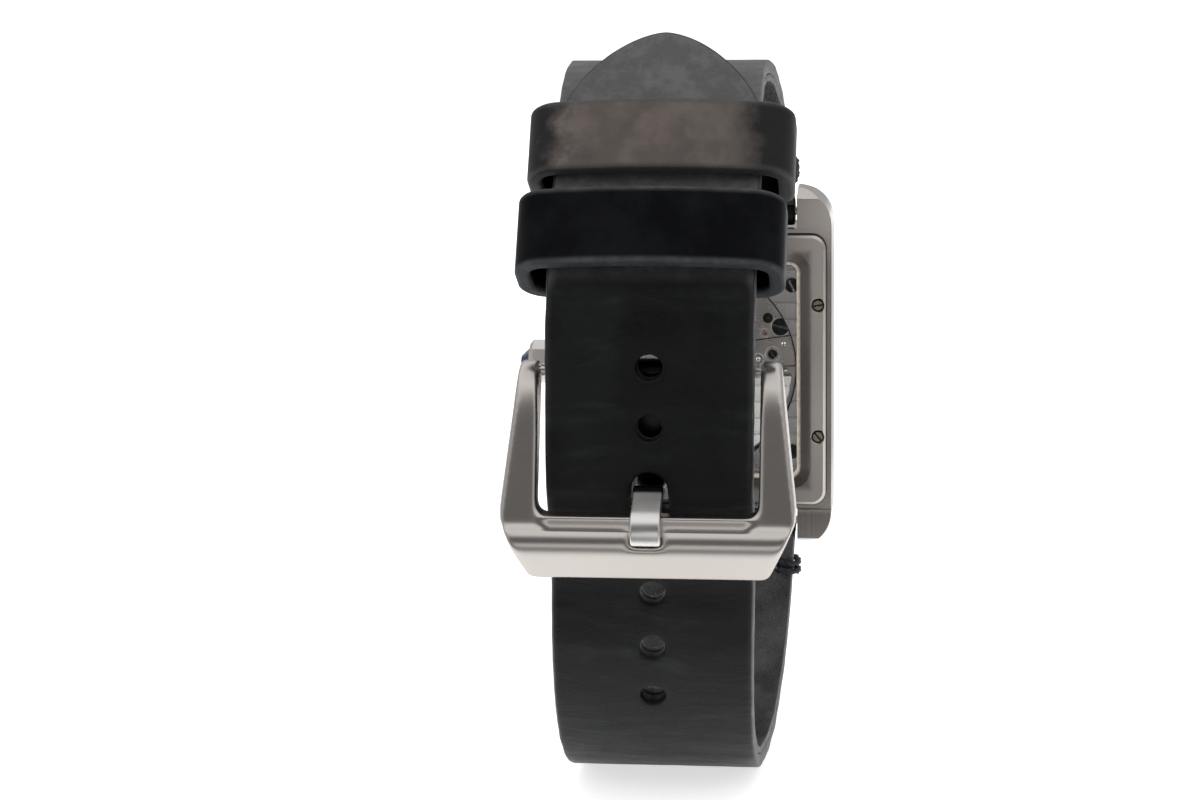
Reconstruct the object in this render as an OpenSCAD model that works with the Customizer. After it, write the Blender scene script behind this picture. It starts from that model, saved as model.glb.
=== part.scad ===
// Rectangular automatic wristwatch, buckled on its leather strap.
// Origin: centre of the case back's outer plane. +X is the side away from the
// crown, +Y points out through the dial, +Z points to twelve o'clock. Millimetres.

/* [Case] */
// Width of the case over its flanks, without the crown
case_w = 34.3; // [33.8:0.1:36]
// Height of the case, lug tip to lug tip
case_h = 44; // [43:0.5:48]
// Width of each side rail, whose ends are the lugs
lug_w = 4.15; // [3.9:0.05:4.4]
// Height of the closed case body between the lug openings
body_h = 34.6; // [34.4:0.1:36]
// Radius of the case's four outer corners
case_corner_r = 4.3; // [3:0.1:5]
// Thickness from the back to the front of the metal case
case_t = 8.9; // [8.8:0.1:9.6]
// How far the lug tips drop below the front of the case
lug_drop = 1.5; // [0.8:0.1:2]
// How far the lug tips are bevelled away from the wrist
lug_back_bevel = 3; // [2:0.1:3.4]
// Width of the room for the movement
cavity_w = 28.6; // [28.4:0.1:28.9]
// Height of the room for the movement
cavity_h = 30.6; // [30:0.1:31]

/* [Case back] */
// Width of the case back frame
back_w = 33.2; // [32.8:0.1:33.6]
// Height of the case back frame
back_h = 33.4; // [33:0.1:34]
// Thickness of the case back frame
back_t = 0.9; // [0.8:0.05:1.1]
// Width of the window in the case back
window_w = 27.1; // [25:0.1:27.4]
// Height of the window in the case back
window_h = 27; // [25:0.1:27.4]
// Thickness of the window glass
window_t = 0.8; // [0.6:0.05:0.9]
// Half the distance between the screws of one side
back_screw_z = 8.1; // [6:0.1:10]
// Diameter of a case back screw's head
back_screw_d = 1.4; // [1.2:0.1:1.5]

/* [Front] */
// Width of the crystal
crystal_w = 26.4; // [26:0.1:26.8]
// Height of the crystal
crystal_h = 29.4; // [28.4:0.1:30]
// Thickness of the crystal
crystal_t = 1.5; // [1.2:0.1:1.8]
// Width of the dial
dial_w = 28.1; // [27.4:0.1:28.3]
// Height of the dial
dial_h = 30.1; // [29:0.1:30.4]
// Thickness of the dial
dial_t = 0.4; // [0.3:0.05:0.5]
// Length of the minute hand from the centre
minute_hand_l = 11.2; // [9:0.1:11.8]
// Length of the hour hand from the centre
hour_hand_l = 7.6; // [6:0.1:9]
// Hour shown by the hands
shown_hour = 10; // [1:1:12]
// Minute shown by the hands
shown_minute = 9; // [0:1:59]

/* [Movement] */
// Radius of the round movement
movement_r = 12.8; // [12.7:0.05:13]
// Radius of the winding rotor
rotor_r = 12.3; // [11.8:0.1:12.4]
// Thickness of the rotor's heavy rim
rotor_rim_t = 0.65; // [0.5:0.05:0.7]
// Radius of the balance wheel
balance_r = 3.2; // [2.8:0.1:3.3]
// Running clearance of a pivot or arbor in its hole
pivot_gap = 0.03; // [0.02:0.01:0.06]

/* [Crown] */
// Radius of the eight-sided crown over its corners
crown_r = 2.75; // [2.4:0.05:3]
// Length of the crown's eight-sided body
crown_l = 2.9; // [2.6:0.1:3.2]
// How far the cut stone stands out of the crown
stone_h = 1.1; // [0.8:0.1:1.4]
// Travel of the crown from winding to setting
crown_travel = 1.2; // [0.8:0.1:1.3]

/* [Strap] */
// Distance of each lug bar from the middle of the case
bar_z = 19.2; // [19:0.1:19.6]
// Distance of the lug bars from the back plane
bar_y = 3; // [2.8:0.1:3.4]
// Side gap between the strap and each lug
lug_gap = 0.3; // [0.2:0.05:0.5]
// Width of the strap at the buckle
strap_w = 22; // [20:0.5:22]
// Thickness of the strap's outer leather
leather_t = 1.6; // [1.3:0.1:1.7]
// Thickness of the strap's lining
lining_t = 0.8; // [0.6:0.05:0.9]
// Length over which each strap narrows from the lugs
taper_run = 36; // [30:1:60]
// Thickness of the waxed thread wrapped round the strap's edges
thread_d = 0.85; // [0.7:0.05:1]
// Height of the top of the loop above the case's middle
loop_top = 39.6; // [38:0.2:42]
// Distance from the back plane to the middle of the short strap at the buckle
loop_depth = 46.4; // [45:0.2:50]
// Lean of the strap under the keepers, in degrees
keeper_lean = 32; // [28:1:34]
// Lean of the long strap where it passes under the buckle's bar, in degrees
lower_lean = 19; // [16:1:20]
// How far the bottom of the loop drifts towards the crown's side
loop_drift = 1; // [0:0.1:1]
// How far the tail drifts to the other side at its tip
tail_drift = 0.7; // [0:0.1:0.8]
// Length of the tail from the bend above the buckle to the tip
tail_l = 36; // [32:0.5:37]
// Length of the pointed tip
tip_l = 10.5; // [9:0.5:13]
// Distance between the strap's holes
hole_pitch = 6.5; // [6:0.1:7]
// Diameter of the strap's holes
hole_d = 2.7; // [2.2:0.1:2.9]

/* [Keepers] */
// Width of the fixed keeper's band
fixed_keeper_w = 8.6; // [7:0.1:9]
// Width of the free keeper's band
free_keeper_w = 8; // [7:0.1:8.5]
// Thickness of the keepers' leather
keeper_t = 1.7; // [1.4:0.1:1.8]
// Side room between the strap and a keeper
keeper_side = 1.5; // [1:0.1:1.8]
// Gap between the two keepers, the free keeper's travel
keeper_gap = 2.1; // [1.6:0.1:3]

/* [Buckle] */
// Height of the buckle's pin above the case's middle
pin_z = 9; // [8.6:0.1:9.4]
// Width of the buckle over its arms at the pin
arm_outer_w = 27.4; // [27:0.1:28]
// Width of the buckle over the ends of its bar
bar_outer_w = 31.2; // [30:0.1:32]
// Width of the bar's lower edge
bar_low_w = 24.4; // [23:0.1:25]
// Gap between the strap and each arm
arm_gap = 0.7; // [0.4:0.05:0.9]
// Width of the tang
tang_w = 3.2; // [2.8:0.1:3.4]

/* [Hidden] */
$fn = 64;

eps = 0.01;
seat_gap = 0.05;

// Levels from the back plane to the front, along +Y
rear_y = back_t;
lug_rear_y = 0.5;
window_y = 0.25;
rotor_y = 1.48;
auto_bridge_y = 2.45;
auto_bridge_t = 0.6;
bridge_y = 3.1;
bridge_t = 0.8;
layer_a_y = 4.1;
layer_b_y = 4.62;
wheel_t = 0.22;
plate_y = 5;
plate_t = 1.15;
holder_y = 2.2;
motion_y = plate_y + plate_t + 0.05;
dial_y = 6.7;
flange_y = dial_y + dial_t;
hour_hand_y = flange_y + 0.18;
hand_t = 0.14;
minute_hand_y = hour_hand_y + hand_t + 0.14;
crystal_y = case_t - crystal_t + 0.6;

// Case
lug_opening = case_w - 2 * lug_w;
case_front_h = body_h - 1.2;
back_corner_r = 1.8;
window_r = 1.5;
window_slope_w = 1.1;
window_lip = 0.12;
window_seal_w = 0.55;
lug_end_drop = 1.05;
gasket_w = 0.6;
gasket_inset = 0.75;
back_screw_x = (back_w + cavity_w) / 4 + 0.1;
thread_r = 0.4;
cavity_r = 2;
flange_w = dial_w - 2.6;
flange_h = dial_h - 1.6;
crystal_r = 1.4;
bezel_gap = 0.35;

// Movement layout, as [x, z] from the centre; wheels mesh on their pitch radii
center_m = 0.085;
third_m = 0.075;
fourth_m = 0.06;
barrel_m = 0.105;
center_n = 80;
center_pinion_n = 10;
third_n = 75;
third_pinion_n = 10;
fourth_n = 80;
fourth_pinion_n = 10;
escape_n = 15;
escape_pinion_n = 8;
barrel_n = 80;
cannon_n = 12;
minute_wheel_n = 36;
minute_pinion_n = 10;
hour_wheel_n = 40;
cannon_m = 0.1;
motion_reach = cannon_m * (cannon_n + minute_wheel_n) / 2;
hour_m = 2 * motion_reach / (minute_pinion_n + hour_wheel_n);
barrel_dir = 145;
third_dir = 20;
fourth_dir = -35;
escape_dir = -100;
fork_dir = -122;
minute_wheel_dir = 200;
function polar(r, a) = [r * cos(a), r * sin(a)];
barrel_at = polar(barrel_m * (barrel_n + center_pinion_n) / 2, barrel_dir);
third_at = polar(center_m * (center_n + third_pinion_n) / 2, third_dir);
fourth_at = third_at + polar(third_m * (third_n + fourth_pinion_n) / 2, fourth_dir);
escape_at = fourth_at + polar(fourth_m * (fourth_n + escape_pinion_n) / 2, escape_dir);
pallet_at = escape_at + polar(2.6, fork_dir);
balance_at = pallet_at + polar(2.9, fork_dir);
minute_wheel_at = polar(motion_reach, minute_wheel_dir);
cock_foot = [-1.6, -5.2];
bridge_feet = [[-8.6, -4.9], [8.9, -5.6]];
auto_feet = [[9.4, 6.2], [1.2, 8.9]];
auto_pin_at = [-9.2, 2.2];
dial_feet = [[-9.5, 6.5], [9.5, -6.5]];
dial_foot_r = 0.35;
casing_screw_x = 12.35;
casing_screw_z = 10.3;
bridge_screw_r = 0.3;
bridge_inset = 0.12;
balance_room = 0.5;
escape_r = 1.85;
arbor_r = 0.16;
cannon_r = 0.42;
hour_pipe_r = 0.8;
post_r = 0.9;
plate_rim_w = 0.75;

// Crown and stem, along X at the height of the main plate
stem_y = 5.35;
stem_r = 0.42;
flank_x = case_w / 2;
crown_gap = 0.25;
crown_x = -flank_x - crown_gap;
tube_r = 1.3;
tube_out = 1.9;
winding_r = 0.5;
winding_l = 1.6;
winding_x = -11.4;

// Strap thickness, lug end and loop, in the Y-Z plane
strap_t = leather_t + lining_t;
lug_end_r = 1.75;
bar_r = 0.75;
lug_strap_w = lug_opening - 2 * lug_gap;
near_y = -loop_depth;
bend_z = pin_z + 2.6;
bend_r = 14;
lug_lean = 18;
tail_gap = 0.2;
tail_off = strap_t + tail_gap;
ring_step = 3;
top_mid = loop_top - strap_t / 2;
far_r = (top_mid - bar_z) / (1 - sin(lug_lean));
top_y = bar_y - far_r * cos(lug_lean);
knee = [near_y + bend_r * (1 - cos(keeper_lean)), bend_z + bend_r * sin(keeper_lean)];
near_r = ((top_y - knee[0]) / tan(keeper_lean) - (top_mid - knee[1])) / (1 / sin(keeper_lean) - 1);
keeper_run = (top_y - knee[0] - near_r * cos(keeper_lean)) / sin(keeper_lean);
short_path = walk([bar_y, bar_z], lug_lean, [
    [far_r, 90 - lug_lean], [near_r, 90 - keeper_lean], [keeper_run, 0],
    [bend_r, keeper_lean], [bend_z - pin_z, 0]
], 1);

// Long strap: the tail goes up from the bend, the rest goes down and round to the lug
tail_y = near_y - tail_off;
tang_hole_z = -3;
dip_z = 0.5;
dip_r = 12;
dip_run = 10.3;
back_r = 14;
back_turn = 10;
back_run = 4.5;
lower_r = 20;
bottom_lean = 28;
lug_run = 5.5;
front_path = walk([tail_y, bend_z], 180, [
    [bend_z - dip_z, 0], [dip_r, lower_lean], [dip_run, 0], [back_r, -back_turn], [back_run, 0],
    [lower_r, bottom_lean - lower_lean + back_turn]
], 1);
front_end = front_path[len(front_path) - 1];
bottom_r = (front_end[1] + bar_y - front_end[0] + lug_run + bar_z)
    / (1 - sin(bottom_lean) + cos(bottom_lean));
rise_r = bar_y - front_end[0] - bottom_r * cos(bottom_lean);
tail_path = walk([tail_y, bend_z], 0, [
    [bend_r + tail_off, -keeper_lean],
    [tail_l - (bend_r + tail_off) * keeper_lean * PI / 180 - tip_l, 0],
    for (part = [0.3, 0.2, 0.15, 0.12, 0.09, 0.07, 0.04, 0.03]) [tip_l * part, 0]
], -1);
under_path = walk([front_end[0], front_end[1]], front_end[2], [
    [bottom_r, 90 - bottom_lean], [rise_r, 90], [lug_run, 0]
], 1);
down_path = concat([for (i = [0:len(front_path) - 2]) front_path[i]], under_path);
long_path = concat(
    [for (i = [len(down_path) - 1:-1:0]) let (p = down_path[i]) [p[0], p[1], p[2] - 180, -1]],
    [for (i = [1:len(tail_path) - 1]) tail_path[i]]
);
long_s = run_lengths(long_path);
short_s = run_lengths(short_path);
tail_s = long_s[len(long_s) - 1];

// Keepers and buckle
keeper_room = 0.4;
keeper_depth = 2 * strap_t + tail_gap + 2 * keeper_room;
fixed_keeper_d = fixed_keeper_w / 2 - 1.5;
free_keeper_d = fixed_keeper_d + (fixed_keeper_w + free_keeper_w) / 2 + keeper_gap;
tang_s = long_s[len(down_path) - 1] - (bend_z - tang_hole_z);
pin_r = 0.7;
fold_r = strap_t / 2 + 0.1;
spring_tip_r = 0.5;
bar_top_z = -5.4;
bar_low_z = -12.3;
bar_back_y = near_y - strap_t / 2 - 2.4;
bar_ridge_y = bar_back_y - 4;
tang_slot_l = 2.2;
tang_slot_r = tang_w / 2 + 0.35;
thread_s = 5.6;
thread_in = 1.75;

// A path of arcs [radius, turn] and straights [length, 0] from a start and a heading.
// Each point holds [y, z, heading, side]; heading 0 is up and 90 is towards the wrist.
function walk(p, a, segs, side, i = 0) =
    i == len(segs) ? [[p[0], p[1], a, side]] :
    let (
        size = segs[i][0],
        turn = segs[i][1],
        n = max(1, ceil((turn == 0 ? size : size * abs(turn) * PI / 180) / ring_step)),
        pts = [for (k = [0:n - 1]) step(p, a, size, turn, k / n)],
        end = step(p, a, size, turn, 1)
    ) concat([for (q = pts) [q[0], q[1], q[2], side]], walk([end[0], end[1]], end[2], segs, side, i + 1));

function step(p, a, size, turn, u) =
    turn == 0 ? [p[0] - size * u * sin(a), p[1] + size * u * cos(a), a] :
    let (b = a + turn * u, r = size * sign(turn))
    [p[0] + r * (cos(b) - cos(a)), p[1] + r * (sin(b) - sin(a)), b];

// Distance of each path point from the path's start
function run_lengths(path, i = 0, s = 0) =
    i == len(path) ? [] :
    let (d = i == 0 ? 0 : norm([path[i][0] - path[i - 1][0], path[i][1] - path[i - 1][1]]))
    concat([s + d], run_lengths(path, i + 1, s + d));

// Half the strap's width: tapered from the lugs, and drawn to a point over the tip
function taper(s) = (lug_strap_w + (strap_w - lug_strap_w) * min(1, s / taper_run)) / 2;
function long_half(s) =
    let (u = min(1, max(0, (tail_s - s) / tip_l)))
    taper(s) * max(0.06, pow(1 - pow(1 - u, 1.5), 0.6));

// How far the long strap lies off the middle of the watch, towards +X
function long_drift(s) = s < tang_s ? -loop_drift * pow(sin(180 * s / tang_s), 2) :
    tail_drift * (s - tang_s) / (tail_s - tang_s);

// Turn that sets a wheel's teeth in the gaps of the wheel it meets in a direction
function meshed(turn, n, next_n, dir) = dir + 180 + 360 / next_n * (0.5 + (dir - turn) * n / 360);

// Building blocks: a slab lies across Y from y to y + t, with its 2D shape in X-Z
module slab(y, t) translate([0, y + t, 0]) rotate([90, 0, 0]) linear_extrude(t) children();
module along_x(x, y, z) translate([x, y, z]) rotate([0, 90, 0]) children();
module at(p) translate([p[0], 0, p[1]]) children();
module disc(y, t, r) slab(y, t) circle(r);

module rounded(w, h, r) {
    square([w - 2 * r, h], center = true);
    square([w, h - 2 * r], center = true);
    for (x = [-1, 1], z = [-1, 1]) translate([x * (w / 2 - r), z * (h / 2 - r)]) circle(r);
}

module frame_ring(w, h, r, t) difference() {
    rounded(w, h, r);
    rounded(w - 2 * t, h - 2 * t, max(r - t, 0.1));
}

// A slotted screw with its head towards the back
module slotted_screw(y, head_r, head_t, shank_r, length, turn) difference() {
    union() {
        disc(y, head_t, head_r);
        disc(y + head_t - eps, length - head_t + eps, shank_r);
    }
    rotate([0, turn, 0]) translate([-head_r - eps, y - eps, -head_r * 0.14])
        cube([2 * head_r + 2 * eps, head_t * 0.5, head_r * 0.28]);
}

// A toothed outline of straight-sided teeth; share is a tooth's part of the pitch
module toothed(n, m, share, add = 1.05, ded = 1.25) {
    rp = n * m / 2;
    pitch = 360 / n;
    polygon([for (i = [0:n - 1]) each [
        polar(rp - ded * m, pitch * (i - share * 0.62)),
        polar(rp + add * m, pitch * (i - share * 0.22)),
        polar(rp + add * m, pitch * (i + share * 0.22)),
        polar(rp - ded * m, pitch * (i + share * 0.62))
    ]]);
}

// A spoked train wheel on a leaf pinion and its arbor
module train_wheel(n, m, y, pinion_n, pinion_m, pinion_y, pinion_t, arbor_l, spokes, pinion_turn) {
    slab(y, wheel_t) difference() {
        toothed(n, m, 0.46);
        wheel_windows(n * m / 2 - 3.2 * m, spokes);
    }
    slab(pinion_y, pinion_t) rotate(pinion_turn) toothed(pinion_n, pinion_m, 0.36, 0.85);
    disc(bridge_y + 0.1, arbor_l, arbor_r);
}

module wheel_windows(r, spokes) difference() {
    circle(r);
    circle(max(0.22 * r, 0.42));
    for (i = [0:spokes - 1]) rotate(i * 360 / spokes) translate([0, -0.14]) square([r + 1, 0.28]);
}

// A flat spiral ribbon between two radii, as one closed outline
module spiral(r0, r1, turns, ribbon) {
    n = turns * 24;
    polygon(concat(
        [for (i = [0:n]) polar(r0 + (r1 - r0) * i / n, i * 15)],
        [for (i = [n:-1:0]) polar(r0 + (r1 - r0) * i / n + ribbon, i * 15)]
    ));
}

// A strap layer swept along its path between two offsets, with chamfered outer edges
module strap_layer(path, half, drift, low, high, chamfer) {
    rings = [for (i = [0:len(path) - 1]) let (
        p = path[i],
        n = p[3] * [cos(p[2]), sin(p[2])],
        w = half[i],
        c = min(chamfer, w / 2),
        shape = [[-w, low], [w, low], [w, high - c], [w - c, high], [c - w, high], [-w, high - c]]
    ) [for (q = shape) [drift[i] + p[3] * q[0], p[0] + n[0] * q[1], p[1] + n[1] * q[1]]]];
    k = 6;
    last = (len(path) - 1) * k;
    polyhedron(
        points = [for (r = rings) each r],
        faces = concat(
            [[for (j = [0:k - 1]) j]],
            [for (i = [0:len(path) - 2], j = [0:k - 1]) let (a = i * k + j, b = i * k + (j + 1) % k)
                each [[a, a + k, b + k], [a, b + k, b]]],
            [[for (j = [k - 1:-1:0]) last + j]]
        ),
        convexity = 6
    );
}

// Places children at a distance along a path, with their Z along it and Y across it
module on_path(path, lengths, s) {
    i = max([for (j = [0:len(lengths) - 2]) lengths[j] <= s ? j : 0]);
    f = (s - lengths[i]) / (lengths[i + 1] - lengths[i]);
    p = path[i] * (1 - f) + path[i + 1] * f;
    translate([0, p[0], p[1]]) rotate([p[2], 0, 0]) children();
}

// Case
module lug_outline() polygon([
    [lug_rear_y, lug_end_drop - case_h / 2], [lug_rear_y + lug_back_bevel, -case_h / 2],
    [case_t - lug_drop - 0.7, -case_h / 2], [case_t - lug_drop, -case_h / 2 + 0.7],
    [case_t, -case_front_h / 2],
    [case_t, case_front_h / 2], [case_t - lug_drop, case_h / 2 - 0.7],
    [case_t - lug_drop - 0.7, case_h / 2], [lug_rear_y + lug_back_bevel, case_h / 2],
    [lug_rear_y, case_h / 2 - lug_end_drop]
]);

module case_middle() color("silver") difference() {
    intersection() {
        slab(0, case_t + 1) rounded(case_w, case_h, case_corner_r);
        translate([case_w / 2 + 1, 0, 0]) rotate([90, 0, -90]) linear_extrude(case_w + 2)
            mirror([1, 0]) lug_outline();
    }
    for (z = [-1, 1]) translate([0, 0, z * (body_h + case_h) / 4 + z * 0.5]) slab(-1, case_t + 2)
        square([lug_opening, (case_h - body_h) / 2 + 1], center = true);
    slab(-1, rear_y + 1) square([case_w + 2, body_h], center = true);
    slab(rear_y - 0.5, flange_y - rear_y + 0.5) rounded(cavity_w, cavity_h, cavity_r);
    slab(flange_y - eps, case_t) rounded(flange_w, flange_h, crystal_r);
    slab(crystal_y - seat_gap, case_t) rounded(crystal_w + 2 * bezel_gap, crystal_h + 2 * bezel_gap, crystal_r);
    slab(rear_y - 0.5, 0.5 + gasket_w / 2)
        frame_ring(cavity_w + 2 * gasket_inset + 0.1, cavity_h + 2 * gasket_inset + 0.1, cavity_r + 0.7, gasket_w + 0.1);
    for (x = [-1, 1], z = [-1, 1]) at([x * back_screw_x, z * back_screw_z])
        disc(rear_y - 0.5, 2.6, thread_r + pivot_gap);
    for (x = [-1, 1], z = [-1, 1]) along_x(x * lug_opening / 2 - 1.3, bar_y, z * bar_z)
        cylinder(r = bar_r * 0.7 + 0.05, h = 2.6);
    along_x(-flank_x - 1, stem_y, 0) cylinder(r = tube_r + 0.02, h = lug_w + 2);
}

module caseback_frame() color("silver") difference() {
    hull() {
        slab(0, eps) rounded(back_w - 0.9, back_h - 0.9, back_corner_r - 0.4);
        slab(0.35, back_t - 0.35) rounded(back_w, back_h, back_corner_r);
    }
    hull() {
        slab(-0.1, 0.1) rounded(window_w + 2 * window_slope_w, window_h + 2 * window_slope_w, window_r + 1);
        slab(window_y, 0.02) rounded(window_w, window_h, window_r);
    }
    slab(-1, 3) rounded(window_w - 2 * window_lip, window_h - 2 * window_lip, window_r - window_lip);
    slab(window_y + 0.15, 2) rounded(window_w, window_h, window_r);
    for (x = [-1, 1], z = [-1, 1]) at([x * back_screw_x, z * back_screw_z]) {
        disc(-1, 3, thread_r + 0.1);
        disc(-1, 1.5, back_screw_d / 2 + 0.06);
        hull() {
            disc(-0.05, 0.05, back_screw_d / 2 + 0.18);
            disc(0.12, 0.01, back_screw_d / 2 + 0.06);
        }
    }
}

module caseback_window() color("lightblue", 0.4) slab(window_y + 0.15 + seat_gap, window_t)
    rounded(window_w - 2 * window_seal_w - 0.2, window_h - 2 * window_seal_w - 0.2,
        window_r - window_seal_w - 0.1);

module window_gasket() color("wheat") slab(window_y + 0.2, window_t - 0.05)
    frame_ring(window_w - 0.1, window_h - 0.1, window_r - 0.05, window_seal_w);

module caseback_gasket() color("black") slab(rear_y, gasket_w / 2 - 0.02)
    frame_ring(cavity_w + 2 * gasket_inset, cavity_h + 2 * gasket_inset, cavity_r + 0.65, gasket_w);

module caseback_screws() color("dimgray") for (x = [-1, 1], z = [-1, 1])
    at([x * back_screw_x, z * back_screw_z])
        slotted_screw(0.06, back_screw_d / 2, 0.42, thread_r, 2.5, z > 0 ? -10 : 50);

// Front
module crystal() color("azure", 0.35) hull() {
    slab(crystal_y, crystal_t - 0.35) rounded(crystal_w, crystal_h, crystal_r - bezel_gap);
    slab(crystal_y + crystal_t - eps, eps) rounded(crystal_w - 0.7, crystal_h - 0.7, crystal_r - bezel_gap - 0.3);
}

module crystal_gasket() color("white") slab(crystal_y, case_t - crystal_y - 0.1)
    frame_ring(crystal_w + 2 * bezel_gap - 0.04, crystal_h + 2 * bezel_gap - 0.04, crystal_r, bezel_gap - 0.06);

module dial_flange() color("silver") slab(flange_y + 0.03, crystal_y - flange_y - 0.1)
    frame_ring(flange_w - 0.06, flange_h - 0.06, crystal_r, 0.7);

module dial() color("ivory") difference() {
    union() {
        slab(dial_y, dial_t) rounded(dial_w, dial_h, cavity_r - 0.3);
        for (p = dial_feet) at(p) disc(dial_y - 1.1, 1.2, dial_foot_r);
    }
    disc(dial_y - 1, 3, hour_pipe_r + 0.1);
}

module hour_markers() color("gold") for (i = [0:11]) {
    a = 90 - i * 30;
    reach = min((flange_w / 2 - 2.2) / max(abs(cos(a)), 0.01), (flange_h / 2 - 2.2) / max(abs(sin(a)), 0.01));
    at(polar(reach - 1.1, a)) slab(flange_y + 0.01, 0.25) rotate(a)
        polygon([[-1.2, -0.28], [1.1, -0.4], [1.1, 0.4], [-1.2, 0.28]]);
}

module hand_outline(length, w) polygon([
    [-w * 0.7, 0], [-w, length * 0.36], [-w * 0.18, length], [w * 0.18, length], [w, length * 0.36],
    [w * 0.7, 0], [w * 0.55, -2.2], [-w * 0.55, -2.2]
]);

module hand(y, length, w, boss, bore, turn) rotate([0, turn, 0]) difference() {
    union() {
        slab(y, hand_t) hand_outline(length, w);
        disc(y, hand_t, boss);
    }
    disc(y - 1, hand_t + 2, bore);
}

module hour_hand() color("midnightblue") hand(hour_hand_y, hour_hand_l, 0.8, 1.35, hour_pipe_r + 0.01,
    -30 * (shown_hour + shown_minute / 60));
module minute_hand() color("midnightblue") hand(minute_hand_y, minute_hand_l, 0.62, 0.95, cannon_r + 0.01,
    -6 * shown_minute);

// Movement
module movement_holder() color("lightgray") slab(holder_y, dial_y - holder_y - 0.1) difference() {
    rounded(cavity_w - 0.2, cavity_h - 0.2, cavity_r - 0.1);
    circle(movement_r + 0.08);
    translate([-cavity_w / 2, 0]) square([4, 2.4], center = true);
    for (x = [-1, 1], z = [-1, 1]) translate([x * casing_screw_x, z * casing_screw_z]) circle(0.55);
}

module casing_screws() color("dimgray") for (x = [-1, 1], z = [-1, 1])
    at([x * casing_screw_x, z * casing_screw_z]) slotted_screw(holder_y - 0.42, 0.88, 0.4, 0.5, 3, x * z * 35);

module main_plate() color("gainsboro") difference() {
    union() {
        disc(plate_y, plate_t, movement_r);
        slab(bridge_y + bridge_t, plate_y - bridge_y - bridge_t + eps) difference() {
            circle(movement_r);
            circle(movement_r - plate_rim_w);
        }
        for (p = screw_feet()) at(p) disc(bridge_y + bridge_t, plate_y - bridge_y - bridge_t + eps, post_r);
    }
    for (p = screw_feet()) at(p) disc(bridge_y, plate_y - bridge_y, bridge_screw_r + 0.03);
    disc(plate_y - 1, 5, cannon_r + pivot_gap);
    for (p = [third_at, fourth_at, escape_at, pallet_at, balance_at, barrel_at])
        at(p) disc(plate_y - 0.5, 1.2, arbor_r + pivot_gap);
    for (p = dial_feet) at(p) disc(plate_y + 0.4, 2, dial_foot_r + 0.05);
    along_x(-movement_r - 1, stem_y, 0) cylinder(r = stem_r + pivot_gap, h = movement_r - 6.6);
    translate([winding_x - 0.1, plate_y - 1, -winding_r - 0.45])
        cube([winding_l + 0.2, plate_t + 2, 2 * winding_r + 0.9]);
}

// Where the bridges stand on the main plate and are screwed to it
function screw_feet() = concat(auto_feet, bridge_feet, [cock_foot]);

module bridge_bores() {
    for (p = screw_feet()) translate(p) circle(bridge_screw_r + 0.06);
    for (p = [third_at, fourth_at, escape_at, barrel_at, [0, 0]]) translate(p) circle(0.42);
}

module bridge_plate() difference() {
    circle(movement_r - 0.05);
    translate(balance_at) circle(balance_r + balance_room);
    translate(pallet_at) circle(1.1);
    bridge_bores();
}

module barrel_bridge() color("gainsboro") slab(bridge_y, bridge_t) intersection() {
    bridge_plate();
    rotate(52) translate([-movement_r, 0.06]) square(2 * movement_r);
}

module train_bridge() color("gainsboro") slab(bridge_y, bridge_t) difference() {
    bridge_plate();
    rotate(52) translate([-movement_r - 1, -0.06]) square(2 * movement_r + 2);
}

module automatic_bridge() color("gainsboro") difference() {
    slab(auto_bridge_y, auto_bridge_t) difference() {
        union() {
            circle(3.9);
            intersection() {
                circle(movement_r - bridge_inset);
                translate([-movement_r, 0.2]) square([2 * movement_r, movement_r]);
            }
        }
        circle(0.9);
        for (p = concat(auto_feet, [auto_pin_at])) translate(p) circle(bridge_screw_r + 0.06);
    }
    slab(auto_bridge_y - 0.1, 0.35) translate([8.6, 3.5]) rotate(8) square([5, 0.12]);
}

module balance_cock() color("gainsboro") slab(auto_bridge_y + 0.02, bridge_y - auto_bridge_y - 0.04) difference() {
    union() {
        translate(balance_at) circle(1.3);
        translate(cock_foot) circle(1.2);
        translate((balance_at + cock_foot) / 2)
            rotate(atan2(balance_at[1] - cock_foot[1], balance_at[0] - cock_foot[0]))
                square([norm(balance_at - cock_foot), 1.9], center = true);
    }
    translate(balance_at) circle(0.42);
    translate(cock_foot) circle(bridge_screw_r + 0.06);
}

module pallet_bridge() color("gainsboro") difference() {
    slab(layer_a_y - 0.2, 0.12) translate(pallet_at) rotate(35) square([4.2, 0.9], center = true);
    at(pallet_at) disc(layer_a_y - 1, 2, arbor_r + pivot_gap);
}

module bridge_screws() color("dimgray") {
    for (p = bridge_feet) at(p) slotted_screw(bridge_y - 0.25, 0.75, 0.24, bridge_screw_r, 1.9, 20 * p[0]);
    at(cock_foot) slotted_screw(auto_bridge_y - 0.24, 0.6, 0.24, bridge_screw_r, 2.6, 15);
    for (p = auto_feet) at(p)
        slotted_screw(auto_bridge_y - 0.24, 0.62, 0.22, bridge_screw_r, 2.6, 8 * p[0]);
    at(auto_pin_at) slotted_screw(auto_bridge_y - 0.24, 0.6, 0.22, bridge_screw_r, 0.8, 70);
}

module jewel(p, y, bore) at(p) slab(y, 0.25) difference() {
    circle(0.4);
    circle(bore);
}

module jewels() color("crimson") {
    for (p = [third_at, fourth_at, escape_at, [0, 0]]) jewel(p, bridge_y + 0.4, arbor_r + pivot_gap);
    jewel(balance_at, auto_bridge_y + 0.2, 0.13);
}

module barrel() color("darkgoldenrod") at(barrel_at) difference() {
    union() {
        slab(layer_a_y - 0.12, 0.2) toothed(barrel_n, barrel_m, 0.46);
        disc(layer_a_y - 0.12, 0.55, barrel_n * barrel_m / 2 - 0.25);
    }
    disc(layer_a_y, 0.33, barrel_n * barrel_m / 2 - 0.45);
    disc(layer_a_y - 1, 3, 0.4 + pivot_gap);
}

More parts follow.
